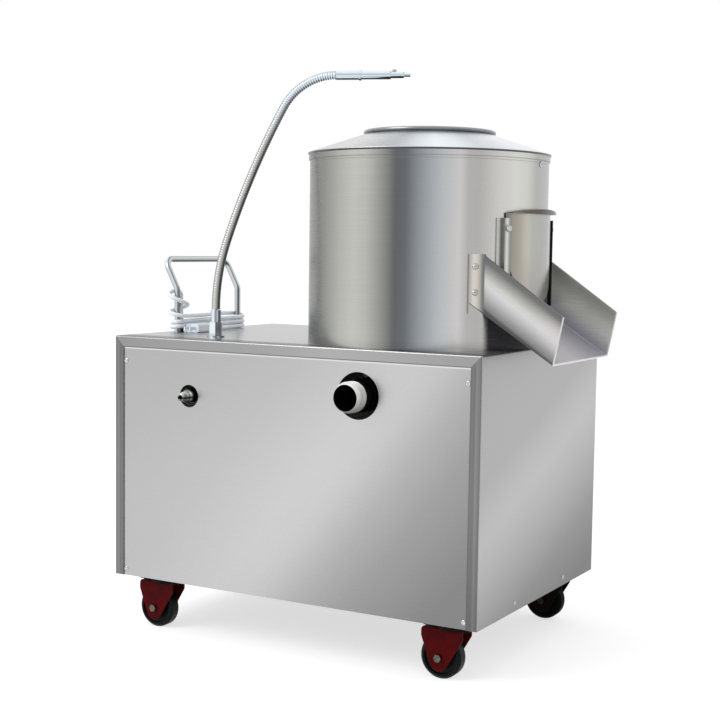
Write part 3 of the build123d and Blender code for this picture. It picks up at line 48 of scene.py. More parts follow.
# Camera: a long lens well in front of the machine, to the right of it and a little
# above the deck, at the height and turn from which the photograph was taken.
camera_place = Vector((1.2531, -2.2593, 0.7213))
camera_yaw = radians(29.6526)
camera_pitch = radians(4.716)
camera_roll = radians(0.8156)
lens_length = 69.546
sensor_width = 36.0
sight_limit = 50.0
look = Vector((-sin(camera_yaw) * cos(camera_pitch), cos(camera_yaw) * cos(camera_pitch),
               -sin(camera_pitch)))
sideways = Vector((cos(camera_yaw), sin(camera_yaw), 0))
rolled = cos(camera_roll) * sideways + sin(camera_roll) * sideways.cross(look)
lens = bpy.data.cameras.new("camera")
lens.lens = lens_length
lens.sensor_width = sensor_width
lens.clip_end = sight_limit
camera = bpy.data.objects.new("camera", lens)
scene.collection.objects.link(camera)
turn = Matrix((rolled, rolled.cross(look), -look)).transposed().to_4x4()
camera.matrix_world = Matrix.Translation(camera_place) @ turn
scene.camera = camera
scene.view_settings.view_transform = "Standard"


# Floor and light: a white floor that keeps the machine's soft shadow, an even white
# room round it, and one broad lamp high on the left that models the round forms.
room_light = 0.78
lamp_power = 70.0
lamp_size = 2.4
lamp_place = Vector((-1.9, -3.0, 3.1))
lamp_aim = Vector((0, 0, 0.5))
floor_half = 9.0
floor_shade = 0.56
floor_roughness = 0.9
floor_glow = 0.65


def mesh_piece(name, finish, points, faces, smooth=True):
    """A new object from points in metres and faces, in the machine's own frame."""
    data = bpy.data.meshes.new(name)
    data.from_pydata([tuple(p) for p in points], [], faces)
    data.validate()
    for face in data.polygons:
        face.use_smooth = smooth
    data.materials.append(finish)
    piece = bpy.data.objects.new(name, data)
    scene.collection.objects.link(piece)
    return piece


def link(out_socket, in_socket):
    """Joins two sockets."""
    out_socket.id_data.links.new(out_socket, in_socket)


def new_node(source, kind, **settings):
    """A new node in the finish or the room that a node or a socket belongs to."""
    node = source.id_data.nodes.new(kind)
    for name, value in settings.items():
        setattr(node, name, value)
    return node


def new_finish(name, metal=0.0, shine=0.5):
    """A new material, with its shader and the surface's own coordinates."""
    finish = bpy.data.materials.new(name)
    finish.use_nodes = True
    shader = finish.node_tree.nodes["Principled BSDF"]
    shader.inputs["Metallic"].default_value = metal
    shader.inputs["Specular IOR Level"].default_value = shine
    return finish, shader, new_node(shader, "ShaderNodeTexCoord")


def by_ray(lit, shown, out):
    """One shader for the light on the machine, and one for the rays that show the background."""
    path = new_node(lit, "ShaderNodeLightPath")
    background = path.outputs["Is Camera Ray"]
    for kind in ("Is Glossy Ray", "Is Transmission Ray"):
        either = new_node(lit, "ShaderNodeMath", operation="MAXIMUM")
        link(background, either.inputs[0])
        link(path.outputs[kind], either.inputs[1])
        background = either.outputs[0]
    either = new_node(lit, "ShaderNodeMixShader")
    for source, socket in zip((background, lit, shown), either.inputs):
        link(source, socket)
    link(either.outputs[0], out)


floor_corners = [(-floor_half, -floor_half, 0), (floor_half, -floor_half, 0),
                 (floor_half, floor_half, 0), (-floor_half, floor_half, 0)]
floor_finish, shader, place = new_finish("white_floor", shine=0.0)
shader.inputs["Base Color"].default_value = (floor_shade, floor_shade, floor_shade, 1)
shader.inputs["Roughness"].default_value = floor_roughness
glow = new_node(shader, "ShaderNodeEmission")
glow.inputs["Strength"].default_value = floor_glow
raised = new_node(shader, "ShaderNodeAddShader")
link(shader.outputs[0], raised.inputs[0])
link(glow.outputs[0], raised.inputs[1])
by_ray(shader.outputs[0], raised.outputs[0], floor_finish.node_tree.nodes["Material Output"].inputs[0])
floor = mesh_piece("floor", floor_finish, floor_corners, [(0, 1, 2, 3)], False)

room = bpy.data.worlds.new("white_room")
scene.world = room
room.use_nodes = True
room.node_tree.nodes.clear()
dim = room.node_tree.nodes.new("ShaderNodeBackground")
dim.inputs["Color"].default_value = (1, 1, 1, 1)
dim.inputs["Strength"].default_value = room_light
white = new_node(dim, "ShaderNodeBackground")
white.inputs["Color"].default_value = (1, 1, 1, 1)
by_ray(dim.outputs[0], white.outputs[0], new_node(dim, "ShaderNodeOutputWorld").inputs[0])

lamp_data = bpy.data.lights.new("key_lamp", "AREA")
lamp_data.energy = lamp_power
lamp_data.size = lamp_size
lamp = bpy.data.objects.new("key_lamp", lamp_data)
scene.collection.objects.link(lamp)
lamp.location = lamp_place
lamp.rotation_euler = (lamp_aim - lamp_place).to_track_quat("-Z", "Y").to_euler()


# Power cord: white three-core flex of 8 mm with a moulded plug. It comes up through a
# rubber grommet, winds round the near leg of the handle and then round both legs.
cord_radius = 4.0
cord_gap = 0.8
cord_pitch = 2 * cord_radius + cord_gap
rod_radius = 6.0
rod_clear = 0.9
strand_clear = 0.7
deck_top = 548.0
handle_x = -391.5
near_leg_y = -89.0
far_leg_y = 114.0
lead_shift = 11.5
grommet_top = 7.0
cord_exit = Vector((handle_x, near_leg_y + lead_shift, deck_top + grommet_top))
low_strand = deck_top + cord_radius + strand_clear
loop_radius = rod_radius + cord_radius + rod_clear
race_drops = [cord_pitch] + [cord_pitch / 2] * 4
leg_loop_radius = 16.5
leg_loop_drops = (22.0, 16.0, 10.0)
fold_radius = leg_loop_radius / 2
leg_top = low_strand + sum(race_drops) + sum(leg_loop_drops)
leg_loop_y = cord_exit.y - fold_radius
half_cross = 40.0
tail = [(loop_radius, 83.0, 0.0), (loop_radius, 57.0, 0.0), (29.7, 23.0, 0.45), (30.9, -7.0, 4.1),
        (30.9, -29.0, 4.1)]
turn_pulls = 6
fold_pulls = 3


def arc_pulls(centre, first, second, turn_by, count, drop=0.0):
    """Points that pull a smooth line round an arc, from the direction first towards second."""
    step = turn_by / count
    out = 1 / cos(step / 2)
    points = []
    for index in range(count):
        angle = step * (index + 0.5)
        sunk = drop * (index + 0.5) / count
        points.append(centre + out * (cos(angle) * first + sin(angle) * second) - Vector((0, 0, sunk)))
    return points


def half_turn(y, height, across, forward, drop):
    """A sinking half turn of the cord round a leg of the handle."""
    centre = Vector((handle_x, y, height))
    return arc_pulls(centre, Vector((across, 0, 0)), Vector((0, forward, 0)), pi, turn_pulls, drop)


route = [cord_exit, cord_exit + Vector((0, 0, (leg_top - fold_radius - cord_exit.z) / 2))]
up, back, out = Vector((0, 0, fold_radius)), Vector((0, fold_radius, 0)), Vector((-fold_radius, 0, 0))
fold_centre = Vector((handle_x, cord_exit.y, leg_top)) + out - up
route += arc_pulls(fold_centre, -out, up, pi / 2, fold_pulls)
route += arc_pulls(fold_centre + up - back, back, out, pi / 2, fold_pulls)
height = leg_top
for half, drop in enumerate(leg_loop_drops):
    side = 1 if half % 2 else -1
    reach = side * leg_loop_radius
    route += half_turn(leg_loop_y, height, reach, side * hypot(leg_loop_radius, drop / 2), drop)
    height -= drop
middle_y = (leg_loop_y + far_leg_y) / 2
route += [Vector((handle_x + leg_loop_radius, middle_y - half_cross, height)),
          Vector((handle_x - loop_radius, middle_y + half_cross, height))]
for half, drop in enumerate(race_drops):
    side, end_y = (-1, near_leg_y) if half % 2 else (1, far_leg_y)
    route += half_turn(end_y, height, -side * loop_radius, side * loop_radius, drop)
    height -= drop
route += [Vector((handle_x + x, y, low_strand + z)) for x, y, z in tail]

cord_data = bpy.data.curves.new("power_cord", "CURVE")
cord_data.dimensions = "3D"
line = cord_data.splines.new("NURBS")
line.points.add(len(route) - 1)
for knot, point in zip(line.points, route):
    knot.co = (*(point * mm), 1.0)
line.order_u = 3
line.use_endpoint_u = True
line.resolution_u = 8
cord_data.bevel_depth = cord_radius * mm
cord_data.bevel_resolution = 5
cord_data.use_fill_caps = True
cord = bpy.data.objects.new("power_cord", cord_data)
scene.collection.objects.link(cord)


def as_seen(shade):
    """A shader's colour from what a screen shows: one grey, or red, green and blue, of 255."""
    levels = [part / 255 for part in (shade if isinstance(shade, tuple) else (shade, shade, shade))]
    return (*(part / 12.92 if part <= 0.04045 else ((part + 0.055) / 1.055) ** 2.4 for part in levels), 1.0)


def noise(place, scale, stretch=(1, 1, 1), detail=4.0, rough=0.55):
    """Noise whose grain is stretched by three factors in the piece's own axes."""
    mapping = new_node(place, "ShaderNodeMapping")
    mapping.inputs["Scale"].default_value = stretch
    link(place.outputs["Object"], mapping.inputs["Vector"])
    cloud = new_node(place, "ShaderNodeTexNoise")
    cloud.inputs["Scale"].default_value = scale
    cloud.inputs["Detail"].default_value = detail
    cloud.inputs["Roughness"].default_value = rough
    link(mapping.outputs[0], cloud.inputs["Vector"])
    return cloud.outputs["Fac"]


def ramp(factor, stops):
    """Tones at places along a factor, blended between them."""
    blend = new_node(factor, "ShaderNodeValToRGB")
    bar = blend.color_ramp
    while len(bar.elements) < len(stops):
        bar.elements.new(0.5)
    for element, (where, shade) in zip(bar.elements, stops):
        element.position = where
        element.color = as_seen(shade)
    link(factor, blend.inputs[0])
    return blend.outputs[0]


grain_low, grain_high = 0.3, 0.7


def spread(factor, low, high, low_in=0.0, high_in=1.0):
    """A factor brought from one range to another."""
    span = new_node(factor, "ShaderNodeMapRange")
    span.inputs["From Min"].default_value = low_in
    span.inputs["From Max"].default_value = high_in
    span.inputs["To Min"].default_value = low
    span.inputs["To Max"].default_value = high
    link(factor, span.inputs["Value"])
    return span.outputs[0]


def relief(shader, factor, depth, strength=1.0):
    """Small height differences on the surface, in metres."""
    bump = new_node(shader, "ShaderNodeBump")
    bump.inputs["Strength"].default_value = strength
    bump.inputs["Distance"].default_value = depth
    link(factor, bump.inputs["Height"])
    link(bump.outputs[0], shader.inputs["Normal"])


def mottled(grain, dark, light):
    """Two tones blended by a grain."""
    return ramp(grain, [(grain_low, dark), (grain_high, light)])


def gloss(shader, grain, low, high):
    """Roughness that follows a grain between two levels."""
    link(spread(grain, low, high, grain_low, grain_high), shader.inputs["Roughness"])


def dress(names, finish):
    """Gives a finish to CAD solids by name."""
    for name in names:
        nodes[name].data.materials.clear()
        nodes[name].data.materials.append(finish)


def plain_finish(name, dark, light, roughness, grain, metal=0.0, depth=0.0, coat=0.0, shine=0.5):
    """A finish mottled between two colours, with a fine grain in its height and gloss."""
    finish, shader, place = new_finish(name, metal, shine)
    mottle = noise(place, grain)
    link(mottled(mottle, dark, light), shader.inputs["Base Color"])
    gloss(shader, mottle, roughness - 0.06, roughness + 0.06)
    shader.inputs["Coat Weight"].default_value = coat
    if depth:
        relief(shader, noise(place, grain * 6), depth)
    return finish


def dress_plain(names, *looks, **more):
    """Gives a new plain finish to CAD solids by name."""
    dress(names, plain_finish(*looks, **more))


cord_finish = plain_finish("white_flex", (234, 240, 249), (250, 252, 255), 0.42, 45.0, depth=0.0001)
cord_data.materials.append(cord_finish)
dress_plain(["cord_plug"], "white_plug_moulding", (222, 231, 244), (240, 245, 252), 0.35, 60.0, depth=0.00008)
dress_plain(["cord_grommet"], "black_grommet_rubber", (24, 24, 25), (40, 40, 41), 0.6, 90.0, depth=0.0001)
relief_sides = 32
relief_bore = cord_radius + 0.1
relief_flange = 5.3
relief_root = 5.2
relief_top = 20.0
relief_foot = 2.0
groove_count = 5
groove_pitch = 3.4
groove_depth = 0.5
relief_steps = [(relief_bore, 0.0), (relief_flange, 0.0), (relief_flange, relief_foot)]
for groove in range(groove_count):
    low = relief_foot + groove * groove_pitch
    wide = relief_root - groove * 0.15
    relief_steps += [(wide - groove_depth, low + 0.4), (wide - groove_depth, low + 1.4),
                     (wide, low + 1.8), (wide, low + groove_pitch)]
relief_steps += [(4.5, relief_top), (relief_bore, relief_top + 0.4)]


def circle(sides):
    """Pairs of cosine and sine at even steps round a circle."""
    return [(cos(2 * pi * side / sides), sin(2 * pi * side / sides)) for side in range(sides)]


def ring_faces(rings, sides):
    """Faces between rings of points that follow one another, each ring closed on itself."""
    faces = []
    for low in range(0, (rings - 1) * sides, sides):
        for side in range(sides):
            after = (side + 1) % sides
            faces.append((low + side, low + after, low + sides + after, low + sides + side))
    return faces


relief_points = [(cord_exit + Vector((radius * x, radius * y, rise))) * mm
                 for radius, rise in relief_steps for x, y in circle(relief_sides)]
relief_faces = ring_faces(len(relief_steps), relief_sides)
relief_finish = plain_finish("grey_relief_rubber", (196, 202, 210), (220, 226, 232), 0.5, 80.0, depth=0.00005)
cord_relief = mesh_piece("cord_relief", relief_finish, relief_points, relief_faces)
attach(cord_relief, "cabinet")
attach(cord, "cabinet")
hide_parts("cord_lead", "cord_hank", "cord_tail")


# Cabinet shell: the deck and both ends are one sheet of stainless steel, folded down and
# turned in to a narrow mitred band round the front and the back, brushed along its length.
shell_right = 328.5
shell_left = -421.5
shell_front = -240.0
band = 20.0
base_z = 98.0
rightward, rearward, upward = (1, 0, 0), (0, 1, 0), (0, 0, 1)
end_shine = (0, -0.36, 0.933)
lip_depth = 100.0
mitre_soft = 0.3
seam_half = 0.4


def reckon(kind, vector, second=None):
    """A sum or product with a place, a normal or a colour."""
    result = new_node(vector, "ShaderNodeVectorMath", operation=kind)
    link(vector, result.inputs[0])
    if second is not None:
        result.inputs[1].default_value = second
    return result


def level(vector, direction):
    """How far a place or a normal reaches along a direction."""
    return reckon("DOT_PRODUCT", vector, direction).outputs["Value"]


def along(place, direction, start, end, low=0.0, high=1.0):
    """From low to high along a direction, between two places in millimetres."""
    return spread(level(place.outputs["Object"], direction), low, high, start * mm, end * mm)


def facing(place, direction):
    """1 where the surface looks in a direction of the machine, 0 elsewhere."""
    return spread(level(place.outputs["Normal"], direction), 0.0, 1.0, 0.6, 0.8)


def both(first, second):
    """Where two masks hold together."""
    product = new_node(first, "ShaderNodeMath", operation="MULTIPLY")
    link(first, product.inputs[0])
    link(second, product.inputs[1])
    return product.outputs[0]


def within(place, direction, low, high, soft=0.3):
    """1 between two places along a direction, in millimetres, with soft edges."""
    rise = along(place, direction, low - soft, low + soft)
    return both(rise, along(place, direction, high - soft, high + soft, 1.0, 0.0))


def over(under, upper, factor, way="MIX"):
    """A tone laid over another by a factor, or multiplied with it; both are plain or from a node."""
    given = [value for value in (factor, under, upper) if isinstance(value, bpy.types.NodeSocket)]
    mix = new_node(given[0], "ShaderNodeMix", data_type="RGBA", blend_type=way)
    for value, socket in ((factor, "Factor"), (under, "A"), (upper, "B")):
        if value in given:
            link(value, mix.inputs[socket])
        else:
            mix.inputs[socket].default_value = value if socket == "Factor" else as_seen(value)
    return mix.outputs["Result"]


def tint(tone, grain, low, high):
    """A tone made darker or lighter by a grain between two levels."""
    scaled = reckon("SCALE", tone)
    link(spread(grain, low, high), scaled.inputs["Scale"])
    return scaled.outputs[0]


def paint(shader, tone, grain, low, high):
    """Colours the surface with a tone that varies a little with a grain."""
    link(tint(tone, grain, low, high), shader.inputs["Base Color"])


def brushed(name, stretch, roughness, depth=0.00001):
    """New bright sheet with fine parallel brush marks in its height and gloss."""
    finish, shader, place = new_finish(name, 1.0)
    marks = noise(place, 1.0, stretch, 3.0, 0.6)
    gloss(shader, marks, roughness - 0.05, roughness + 0.05)
    relief(shader, marks, depth, 0.25)
    return finish, shader, place, marks


half_root = 0.5 ** 0.5
shell_finish, shader, place, marks = brushed("brushed_shell", (20, 1800, 2200), 0.3, 0.000002)
# Painted reflection: the ends, the deck and the band take tones that rise and fall along set directions.
end_tone = ramp(along(place, end_shine, 0, 600), [
    (0.04, 107), (0.2, 130), (0.3, 152), (0.4, 168), (0.5, 179), (0.56, 176), (0.66, 165), (0.8, 166),
    (1.0, 162)])
deck_tone = ramp(along(place, rearward, shell_front, shell_front + lip_depth), [
    (0.0, 170), (0.3, 178), (0.45, 198), (0.6, 204), (1.0, 207)])
top_tone = ramp(along(place, rightward, shell_left, shell_right), [
    (0.0, 146), (0.15, 152), (0.45, 156), (0.62, 166), (0.75, 161), (1.0, 151)])
side_tone = ramp(along(place, upward, base_z, base_z + 200), [
    (0.0, 148), (0.5, 159), (1.0, 167)])
left_mitre = (shell_left + deck_top) * half_root
right_mitre = (deck_top - shell_right) * half_root
mitres = ((left_mitre, (half_root, 0, half_root)), (right_mitre, (-half_root, 0, half_root)))
top_band = both(*[along(place, way, mitre - mitre_soft, mitre + mitre_soft) for mitre, way in mitres])
side_tone = over(side_tone, 166, along(place, (-1, 0, 0), 300, 400))
# Painted highlight: each upright fold of the band gets a bright line between darker edges.
for edge, way in ((shell_left, 1), (shell_right, -1)):
    fold_side = along(place, (way, 0, 0), way * edge, way * edge + band)
    band_fold_highlight = ramp(fold_side, [(0.0, 196), (0.1, 228), (0.45, 255), (0.6, 222), (0.85, 232), (1.0, 200)])
    side_tone = over(side_tone, band_fold_highlight, 1.0, "MULTIPLY")
band_tone = over(side_tone, top_tone, top_band)
# Painted shadow: a dark line under the top band, where the panel sits back.
band_shadow_line = within(place, upward, deck_top - band, deck_top - band + 1.3)
band_tone = over(band_tone, 118, both(top_band, band_shadow_line))
for mitre, way in mitres:
    band_tone = over(band_tone, 112, within(place, way, mitre - seam_half, mitre + seam_half))
tone = over(end_tone, band_tone, facing(place, (0, -1, 0)))
tone = over(tone, deck_tone, facing(place, upward))
paint(shader, tone, marks, 0.97, 1.03)
# Painted reflection: the deck's specular tint is dimmer along its front strip.
deck_reflection_tint = ramp(along(place, rearward, shell_front, shell_front + lip_depth), [
    (0.0, 150), (0.1, 188), (0.3, 198), (0.45, 229), (0.6, 237), (1.0, 231)])
link(over(255, deck_reflection_tint, facing(place, upward)), shader.inputs["Specular Tint"])
dress(["cabinet_shell"], shell_finish)


# Front and rear panels: flat brushed sheet let into the band. The front one has the two
# pipe holes, the rear one rows of punched air slots.
def panel_finish(name, heading, start, end, stops):
    """Sheet brushed along X, with a painted reflection whose tone falls off along a heading, and a painted
    highlight along its top edge.
    """
    finish, shader, place, marks = brushed(name, (16, 16, 2600), 0.3, 0.000004)
    tone = ramp(along(place, heading, start, end), stops)
    top_edge_highlight = within(place, upward, deck_top - band - 3.2, deck_top - band - 0.9)
    tone = over(tone, 212, top_edge_highlight)
    paint(shader, tone, marks, 0.98, 1.02)
    return finish


front_finish = panel_finish("brushed_front_panel", (0.77, 0, -0.64), -560, 130, [
    (0.04, 173), (0.3, 179), (0.51, 190), (0.57, 189), (0.61, 185), (0.65, 177), (0.7, 166), (0.8, 149),
    (0.98, 128)])
dress(["front_panel"], front_finish)
rear_finish = panel_finish("brushed_rear_panel", (-0.64, 0, -0.77), -530, 130, [
    (0.0, 186), (0.4, 204), (0.6, 190), (0.8, 160), (1.0, 140)])
dress(["rear_panel"], rear_finish)


# Screws: stainless pan heads with a cross recess. They hold the two panels in their band,
# the ends low down, the chute's flanges and the cover.
cross_arm = 0.62
cross_width = 0.2
cross_floor = 0.45
head_fall = 0.75


def pan_head(place_in, radius, height, rings=9, sides=32):
    """Points and faces of a domed head with a cross recess, standing along its own +Z."""
    points = [Vector((0, 0, height * cross_floor))]
    for ring in range(1, rings + 1):
        share = ring / rings
        for x, y in circle(sides):
            x, y = share * x, share * y
            in_cross = min(abs(x), abs(y)) < cross_width / 2 and max(abs(x), abs(y)) < cross_arm
            rise = cross_floor if in_cross else 1 - share ** 4 * head_fall
            points.append(Vector((x * radius, y * radius, height * rise)))
    points += [Vector((radius * x, radius * y, 0)) for x, y in circle(sides)]
    faces = []
    for side in range(sides):
        after = (side + 1) % sides
        faces.append((0, 1 + side, 1 + after))
        for low in range(1, 1 + rings * sides, sides):
            faces.append((low + side, low + sides + side, low + sides + after, low + after))
    faces.append(tuple(1 + rings * sides + side for side in reversed(range(sides))))
    return [place_in @ p for p in points], faces


def joined(name, finish, parts, smooth=True):
    """One piece from several lists of points and faces, given in millimetres."""
    points, faces = [], []
    for some_points, some_faces in parts:
        base = len(points)
        points += [p * mm for p in some_points]
        faces += [tuple(base + index for index in face) for face in some_faces]
    return mesh_piece(name, finish, points, faces, smooth)


def upright(heading, at):
    """Places a piece that stands along +Z so that it stands along a heading instead."""
    return Matrix.Translation(at) @ Vector(heading).to_track_quat("Z", "Y").to_matrix().to_4x4()


screw_finish = plain_finish("bright_screw_steel", (168, 169, 170), (205, 206, 207), 0.24, 300.0, metal=1.0)
panel_head = (4.8, 1.9)
end_head = (4.2, 1.2)
front_seat = -238.0
rear_seat = 288.0
side_inset = 25.0
low_inset = 12.0
high_inset = 46.0
end_inset = 15.0
end_screw_y = (-87.0, 137.0)
panel_heads = []
for heading, y in (((0, -1, 0), front_seat), ((0, 1, 0), rear_seat)):
    for x in (shell_left + side_inset, shell_right - side_inset):
        for z in (base_z + low_inset, deck_top - high_inset):
            panel_heads.append(pan_head(upright(heading, (x, y, z)), *panel_head))
for heading, x in (((-1, 0, 0), shell_left), ((1, 0, 0), shell_right)):
    for y in end_screw_y:
        panel_heads.append(pan_head(upright(heading, (x, y, base_z + end_inset)), *end_head))
panel_screws = joined("panel_screw_heads", screw_finish, panel_heads)
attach(panel_screws, "cabinet")
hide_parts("panel_screws")

drum_x = 114.5
drum_y = -19.0
drum_radius = 213.0
rim = 883.0
drum_head = (5.6, 3.0)
flange_seat = drum_radius + 2.1
flange_angle = 41.3
flange_rises = (141.0, 98.0)
cover_angles = (1.0, 181.0)
cover_drop = 19.0


def on_drum(angle, seat, z):
    """Where a piece stands square to the drum's wall, at an angle from +X in degrees."""
    outward = Vector((cos(radians(angle)), sin(radians(angle)), 0))
    return upright(outward, Vector((drum_x, drum_y, z)) + seat * outward)


drum_heads = [pan_head(on_drum(angle, flange_seat, deck_top + rise), *drum_head)
              for angle in (-flange_angle, flange_angle) for rise in flange_rises]
drum_heads += [pan_head(on_drum(angle, drum_radius, rim - cover_drop), *drum_head) for angle in cover_angles]
drum_screws = joined("drum_screw_heads", screw_finish, drum_heads)
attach(drum_screws, "cabinet")
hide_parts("drum_screws")


# Welded frame inside the cabinet: steel angle in grey primer, with pads over the casters
# and rails under the deck for the bearing housing and lower down for the motor.
frame_finish = plain_finish("grey_primer", (112, 115, 118), (134, 137, 140), 0.55, 30.0, depth=0.0002)
dress(["base_frame", "motor_bracket"], frame_finish)
dress_plain(["frame_bolts"], "zinc_plate", (150, 150, 140), (190, 190, 180), 0.35, 120.0, metal=0.9)


# Drum: one sheet of stainless steel rolled round and welded at the back, set on the deck.
# Its colour holds painted reflection in upright bands, which follow the turn of the wall.
def from_drum(place):
    """Places measured from the drum's upright axis."""
    mapping = new_node(place, "ShaderNodeMapping")
    mapping.inputs["Location"].default_value = (-drum_x * mm, -drum_y * mm, 0)
    link(place.outputs["Object"], mapping.inputs["Vector"])
    return mapping.outputs[0]


def turned(place):
    """From 0 to 1 round the drum's axis, a half where the surface looks along +X."""
    sweep = new_node(place, "ShaderNodeTexGradient", gradient_type="RADIAL")
    link(from_drum(place), sweep.inputs["Vector"])
    return sweep.outputs["Fac"]


def round_drum(place, stops):
    """Tones round the drum from angles in degrees, with +X at 0."""
    return ramp(turned(place), [(0.5 + angle / 360, shade) for angle, shade in stops])


# Painted reflection bands round the drum's wall, by angle.
wall_stops = [
    (-180, 150), (-138, 116), (-121, (138, 139, 136)), (-107, (175, 176, 170)), (-99, (185, 186, 180)),
    (-92, (174, 175, 169)), (-82, (128, 128, 126)), (-78, (95, 96, 98)), (-73, (102, 106, 110)),
    (-66, (144, 149, 154)), (-58, (178, 181, 184)), (-49, (200, 198, 198)), (-45, (178, 176, 174)),
    (-40, (175, 174, 172)), (-30, (200, 199, 196)), (-20, (212, 212, 206)), (-11, (203, 204, 198)),
    (-4, (176, 177, 175)), (16, 166), (60, 190), (120, 150), (180, 150)]
skirt_shadow_drop = 16.0
shaded_arc = (-35.5, 39.5)
shaded_height = 62.0


def arc_mask(place, start, end, soft):
    """1 between two angles round the drum, in degrees."""
    sweep = turned(place)
    rise = spread(sweep, 0.0, 1.0, 0.5 + (start - soft) / 360, 0.5 + (start + soft) / 360)
    fall = spread(sweep, 1.0, 0.0, 0.5 + (end - soft) / 360, 0.5 + (end + soft) / 360)
    return both(rise, fall)


drum_finish, shader, place, marks = brushed("rolled_drum_steel", (3, 3, 1800), 0.28)
tone = round_drum(place, wall_stops)
# Painted shade: the wall darkens towards the deck at its foot.
tone = tint(tone, along(place, upward, deck_top, deck_top + 18), 0.86, 1.0)
# Painted shadow: the wall is dark under the chute, down to the deck.
under_chute = both(arc_mask(place, *shaded_arc, 1.6),
                   within(place, upward, deck_top - 20, deck_top + shaded_height, 5.0))
tone = over(tone, 80, under_chute)
# Painted shade: a thin dark line on the wall just below the cover's skirt.
line = within(place, upward, rim - skirt_shadow_drop - 0.6, rim - skirt_shadow_drop + 0.6)
tone = over(tone, 128, spread(line, 0.0, 0.5))
paint(shader, tone, marks, 0.97, 1.03)
dress(["drum_shell"], drum_finish)


# Cover and feed ring: a spun cone with a rolled rim over the wall, ringed by the spinning
# tool, and a short neck with a thick rolled edge.
def ringed(place, scale):
    """Fine circles round the drum's axis."""
    flat = reckon("MULTIPLY", from_drum(place), (1, 1, 0))
    reach = reckon("LENGTH", flat.outputs[0])
    line = new_node(place, "ShaderNodeTexNoise", noise_dimensions="1D")
    line.inputs["Scale"].default_value = scale
    line.inputs["Detail"].default_value = 3.0
    link(reach.outputs["Value"], line.inputs["W"])
    return line.outputs["Fac"]


cover_finish, shader, place = new_finish("spun_cover_steel", 1.0)
circles = ringed(place, 700.0)
# Painted reflection round the cone by angle; the skirt below the rim carries the wall's painted reflection
# bands.
cone = round_drum(place, [
    (-180, (176, 176, 177)), (-150, (188, 188, 189)), (-125, 204), (-108, 216), (-96, (208, 209, 210)),
    (-88, (196, 199, 202)), (-80, (188, 193, 198)), (-71, (212, 218, 223)), (-60, (240, 246, 250)),
    (-50, (228, 235, 241)), (-40, (204, 210, 215)), (-31, (212, 218, 223)), (-18, (232, 234, 237)),
    (4, (238, 238, 241)), (28, (226, 226, 230)), (70, (198, 199, 200)), (110, (208, 208, 209)),
    (145, (190, 190, 191)), (180, (190, 190, 191))])
below_rim = along(place, upward, rim - 1.4, rim - 0.6, 1.0, 0.0)
tone = over(cone, round_drum(place, wall_stops), below_rim)
# Painted shadow: a dark line under the rolled rim's bead.
tone = over(tone, 88, within(place, upward, rim - 2.6, rim + 0.5))
# Painted shade: a dark line along the skirt's lower edge.
skirt_shade_line = within(place, upward, rim - 13.0, rim - 11.0)
tone = over(tone, 128, spread(skirt_shade_line, 0.0, 0.6))
paint(shader, tone, circles, 0.95, 1.04)
gloss(shader, circles, 0.24, 0.34)
relief(shader, circles, 0.00003, 0.4)
dress(["top_cover"], cover_finish)

ring_finish, shader, place = new_finish("rolled_ring_steel", 1.0)
circles = ringed(place, 500.0)
# Painted reflection round the ring; painted shade darkens the underside of its rolled edge, and a painted
# highlight lights its top.
tone = round_drum(place, [
    (-180, (186, 188, 190)), (-140, (200, 201, 202)), (-100, (180, 184, 188)),
    (-60, (172, 178, 184)), (0, (176, 180, 184)), (90, (176, 178, 180)), (180, (186, 188, 190))])
roll = ramp(along(place, upward, rim + 34, rim + 43), [(0.0, 120), (0.3, 150), (0.6, 190), (1.0, 255)])
paint(shader, over(tone, roll, 1.0, "MULTIPLY"), circles, 0.94, 1.05)
gloss(shader, circles, 0.22, 0.34)
dress(["feed_ring"], ring_finish)


# Peeling works inside the drum: a grit-coated sleeve and disc that rub the skins off, the
# pressed floor under them, and the spindle with its housing, seal and cap nut.
def grit_finish(name, dark, light, grain):
    """Coarse abrasive grains set in dark resin."""
    finish, shader, place = new_finish(name)
    cells = new_node(place, "ShaderNodeTexVoronoi")
    cells.inputs["Scale"].default_value = grain
    link(place.outputs["Object"], cells.inputs["Vector"])
    link(ramp(cells.outputs["Distance"], [(0.1, light), (0.7, dark)]), shader.inputs["Base Color"])
    link(spread(cells.outputs["Distance"], 0.5, 0.9), shader.inputs["Roughness"])
    relief(shader, cells.outputs["Distance"], 0.001, 1.0)
    return finish


dress(["drum_liner"], grit_finish("grit_sleeve", (40, 40, 42), (104, 104, 106), 420.0))
dress(["peeling_disc"], grit_finish("grit_disc", (52, 52, 53), 126, 380.0))
dress_plain(["drum_floor"], "pressed_floor_steel", (150, 152, 154), (186, 188, 190), 0.32, 40.0, metal=1.0)
shaft_steel = plain_finish("ground_shaft_steel", (160, 161, 163), (196, 197, 198), 0.22, 200.0, metal=1.0)
dress(["spindle_shaft", "motor_shaft", "disc_nut", "bearings"], shaft_steel)
iron_finish = plain_finish("painted_casting", (60, 63, 66), (82, 85, 88), 0.5, 60.0, depth=0.0004)
dress(["bearing_housing", "drum_pulley", "motor_pulley"], iron_finish)
rubber_finish = plain_finish("black_rubber", (18, 18, 19), (34, 34, 35), 0.6, 80.0, depth=0.0001)
dress(["shaft_seal", "v_belt", "port_rubber"], rubber_finish)


# Motor: a cast frame with cooling fins, a slotted cap over its fan and a terminal box,
# in blue-grey enamel.
dress_plain(["motor_body"], "motor_enamel", (88, 98, 108), (104, 114, 124), 0.4, 24.0, depth=0.0002, coat=0.3)


# Discharge gate: a curved stainless plate with a round bottom and a pull flange bent out
# at its top. It slides in two folded guides, which have thumb screws to hold it.
gate_top = deck_top + 231.0
lock_z = deck_top + 205.0
lock_angle = 26.1
lock_seat = 222.6
knob_radius = 5.8
knob_height = 5.0
tooth_depth = 0.06
tooth_top = 0.75
crown_start = 0.7
crown_fall = 0.45

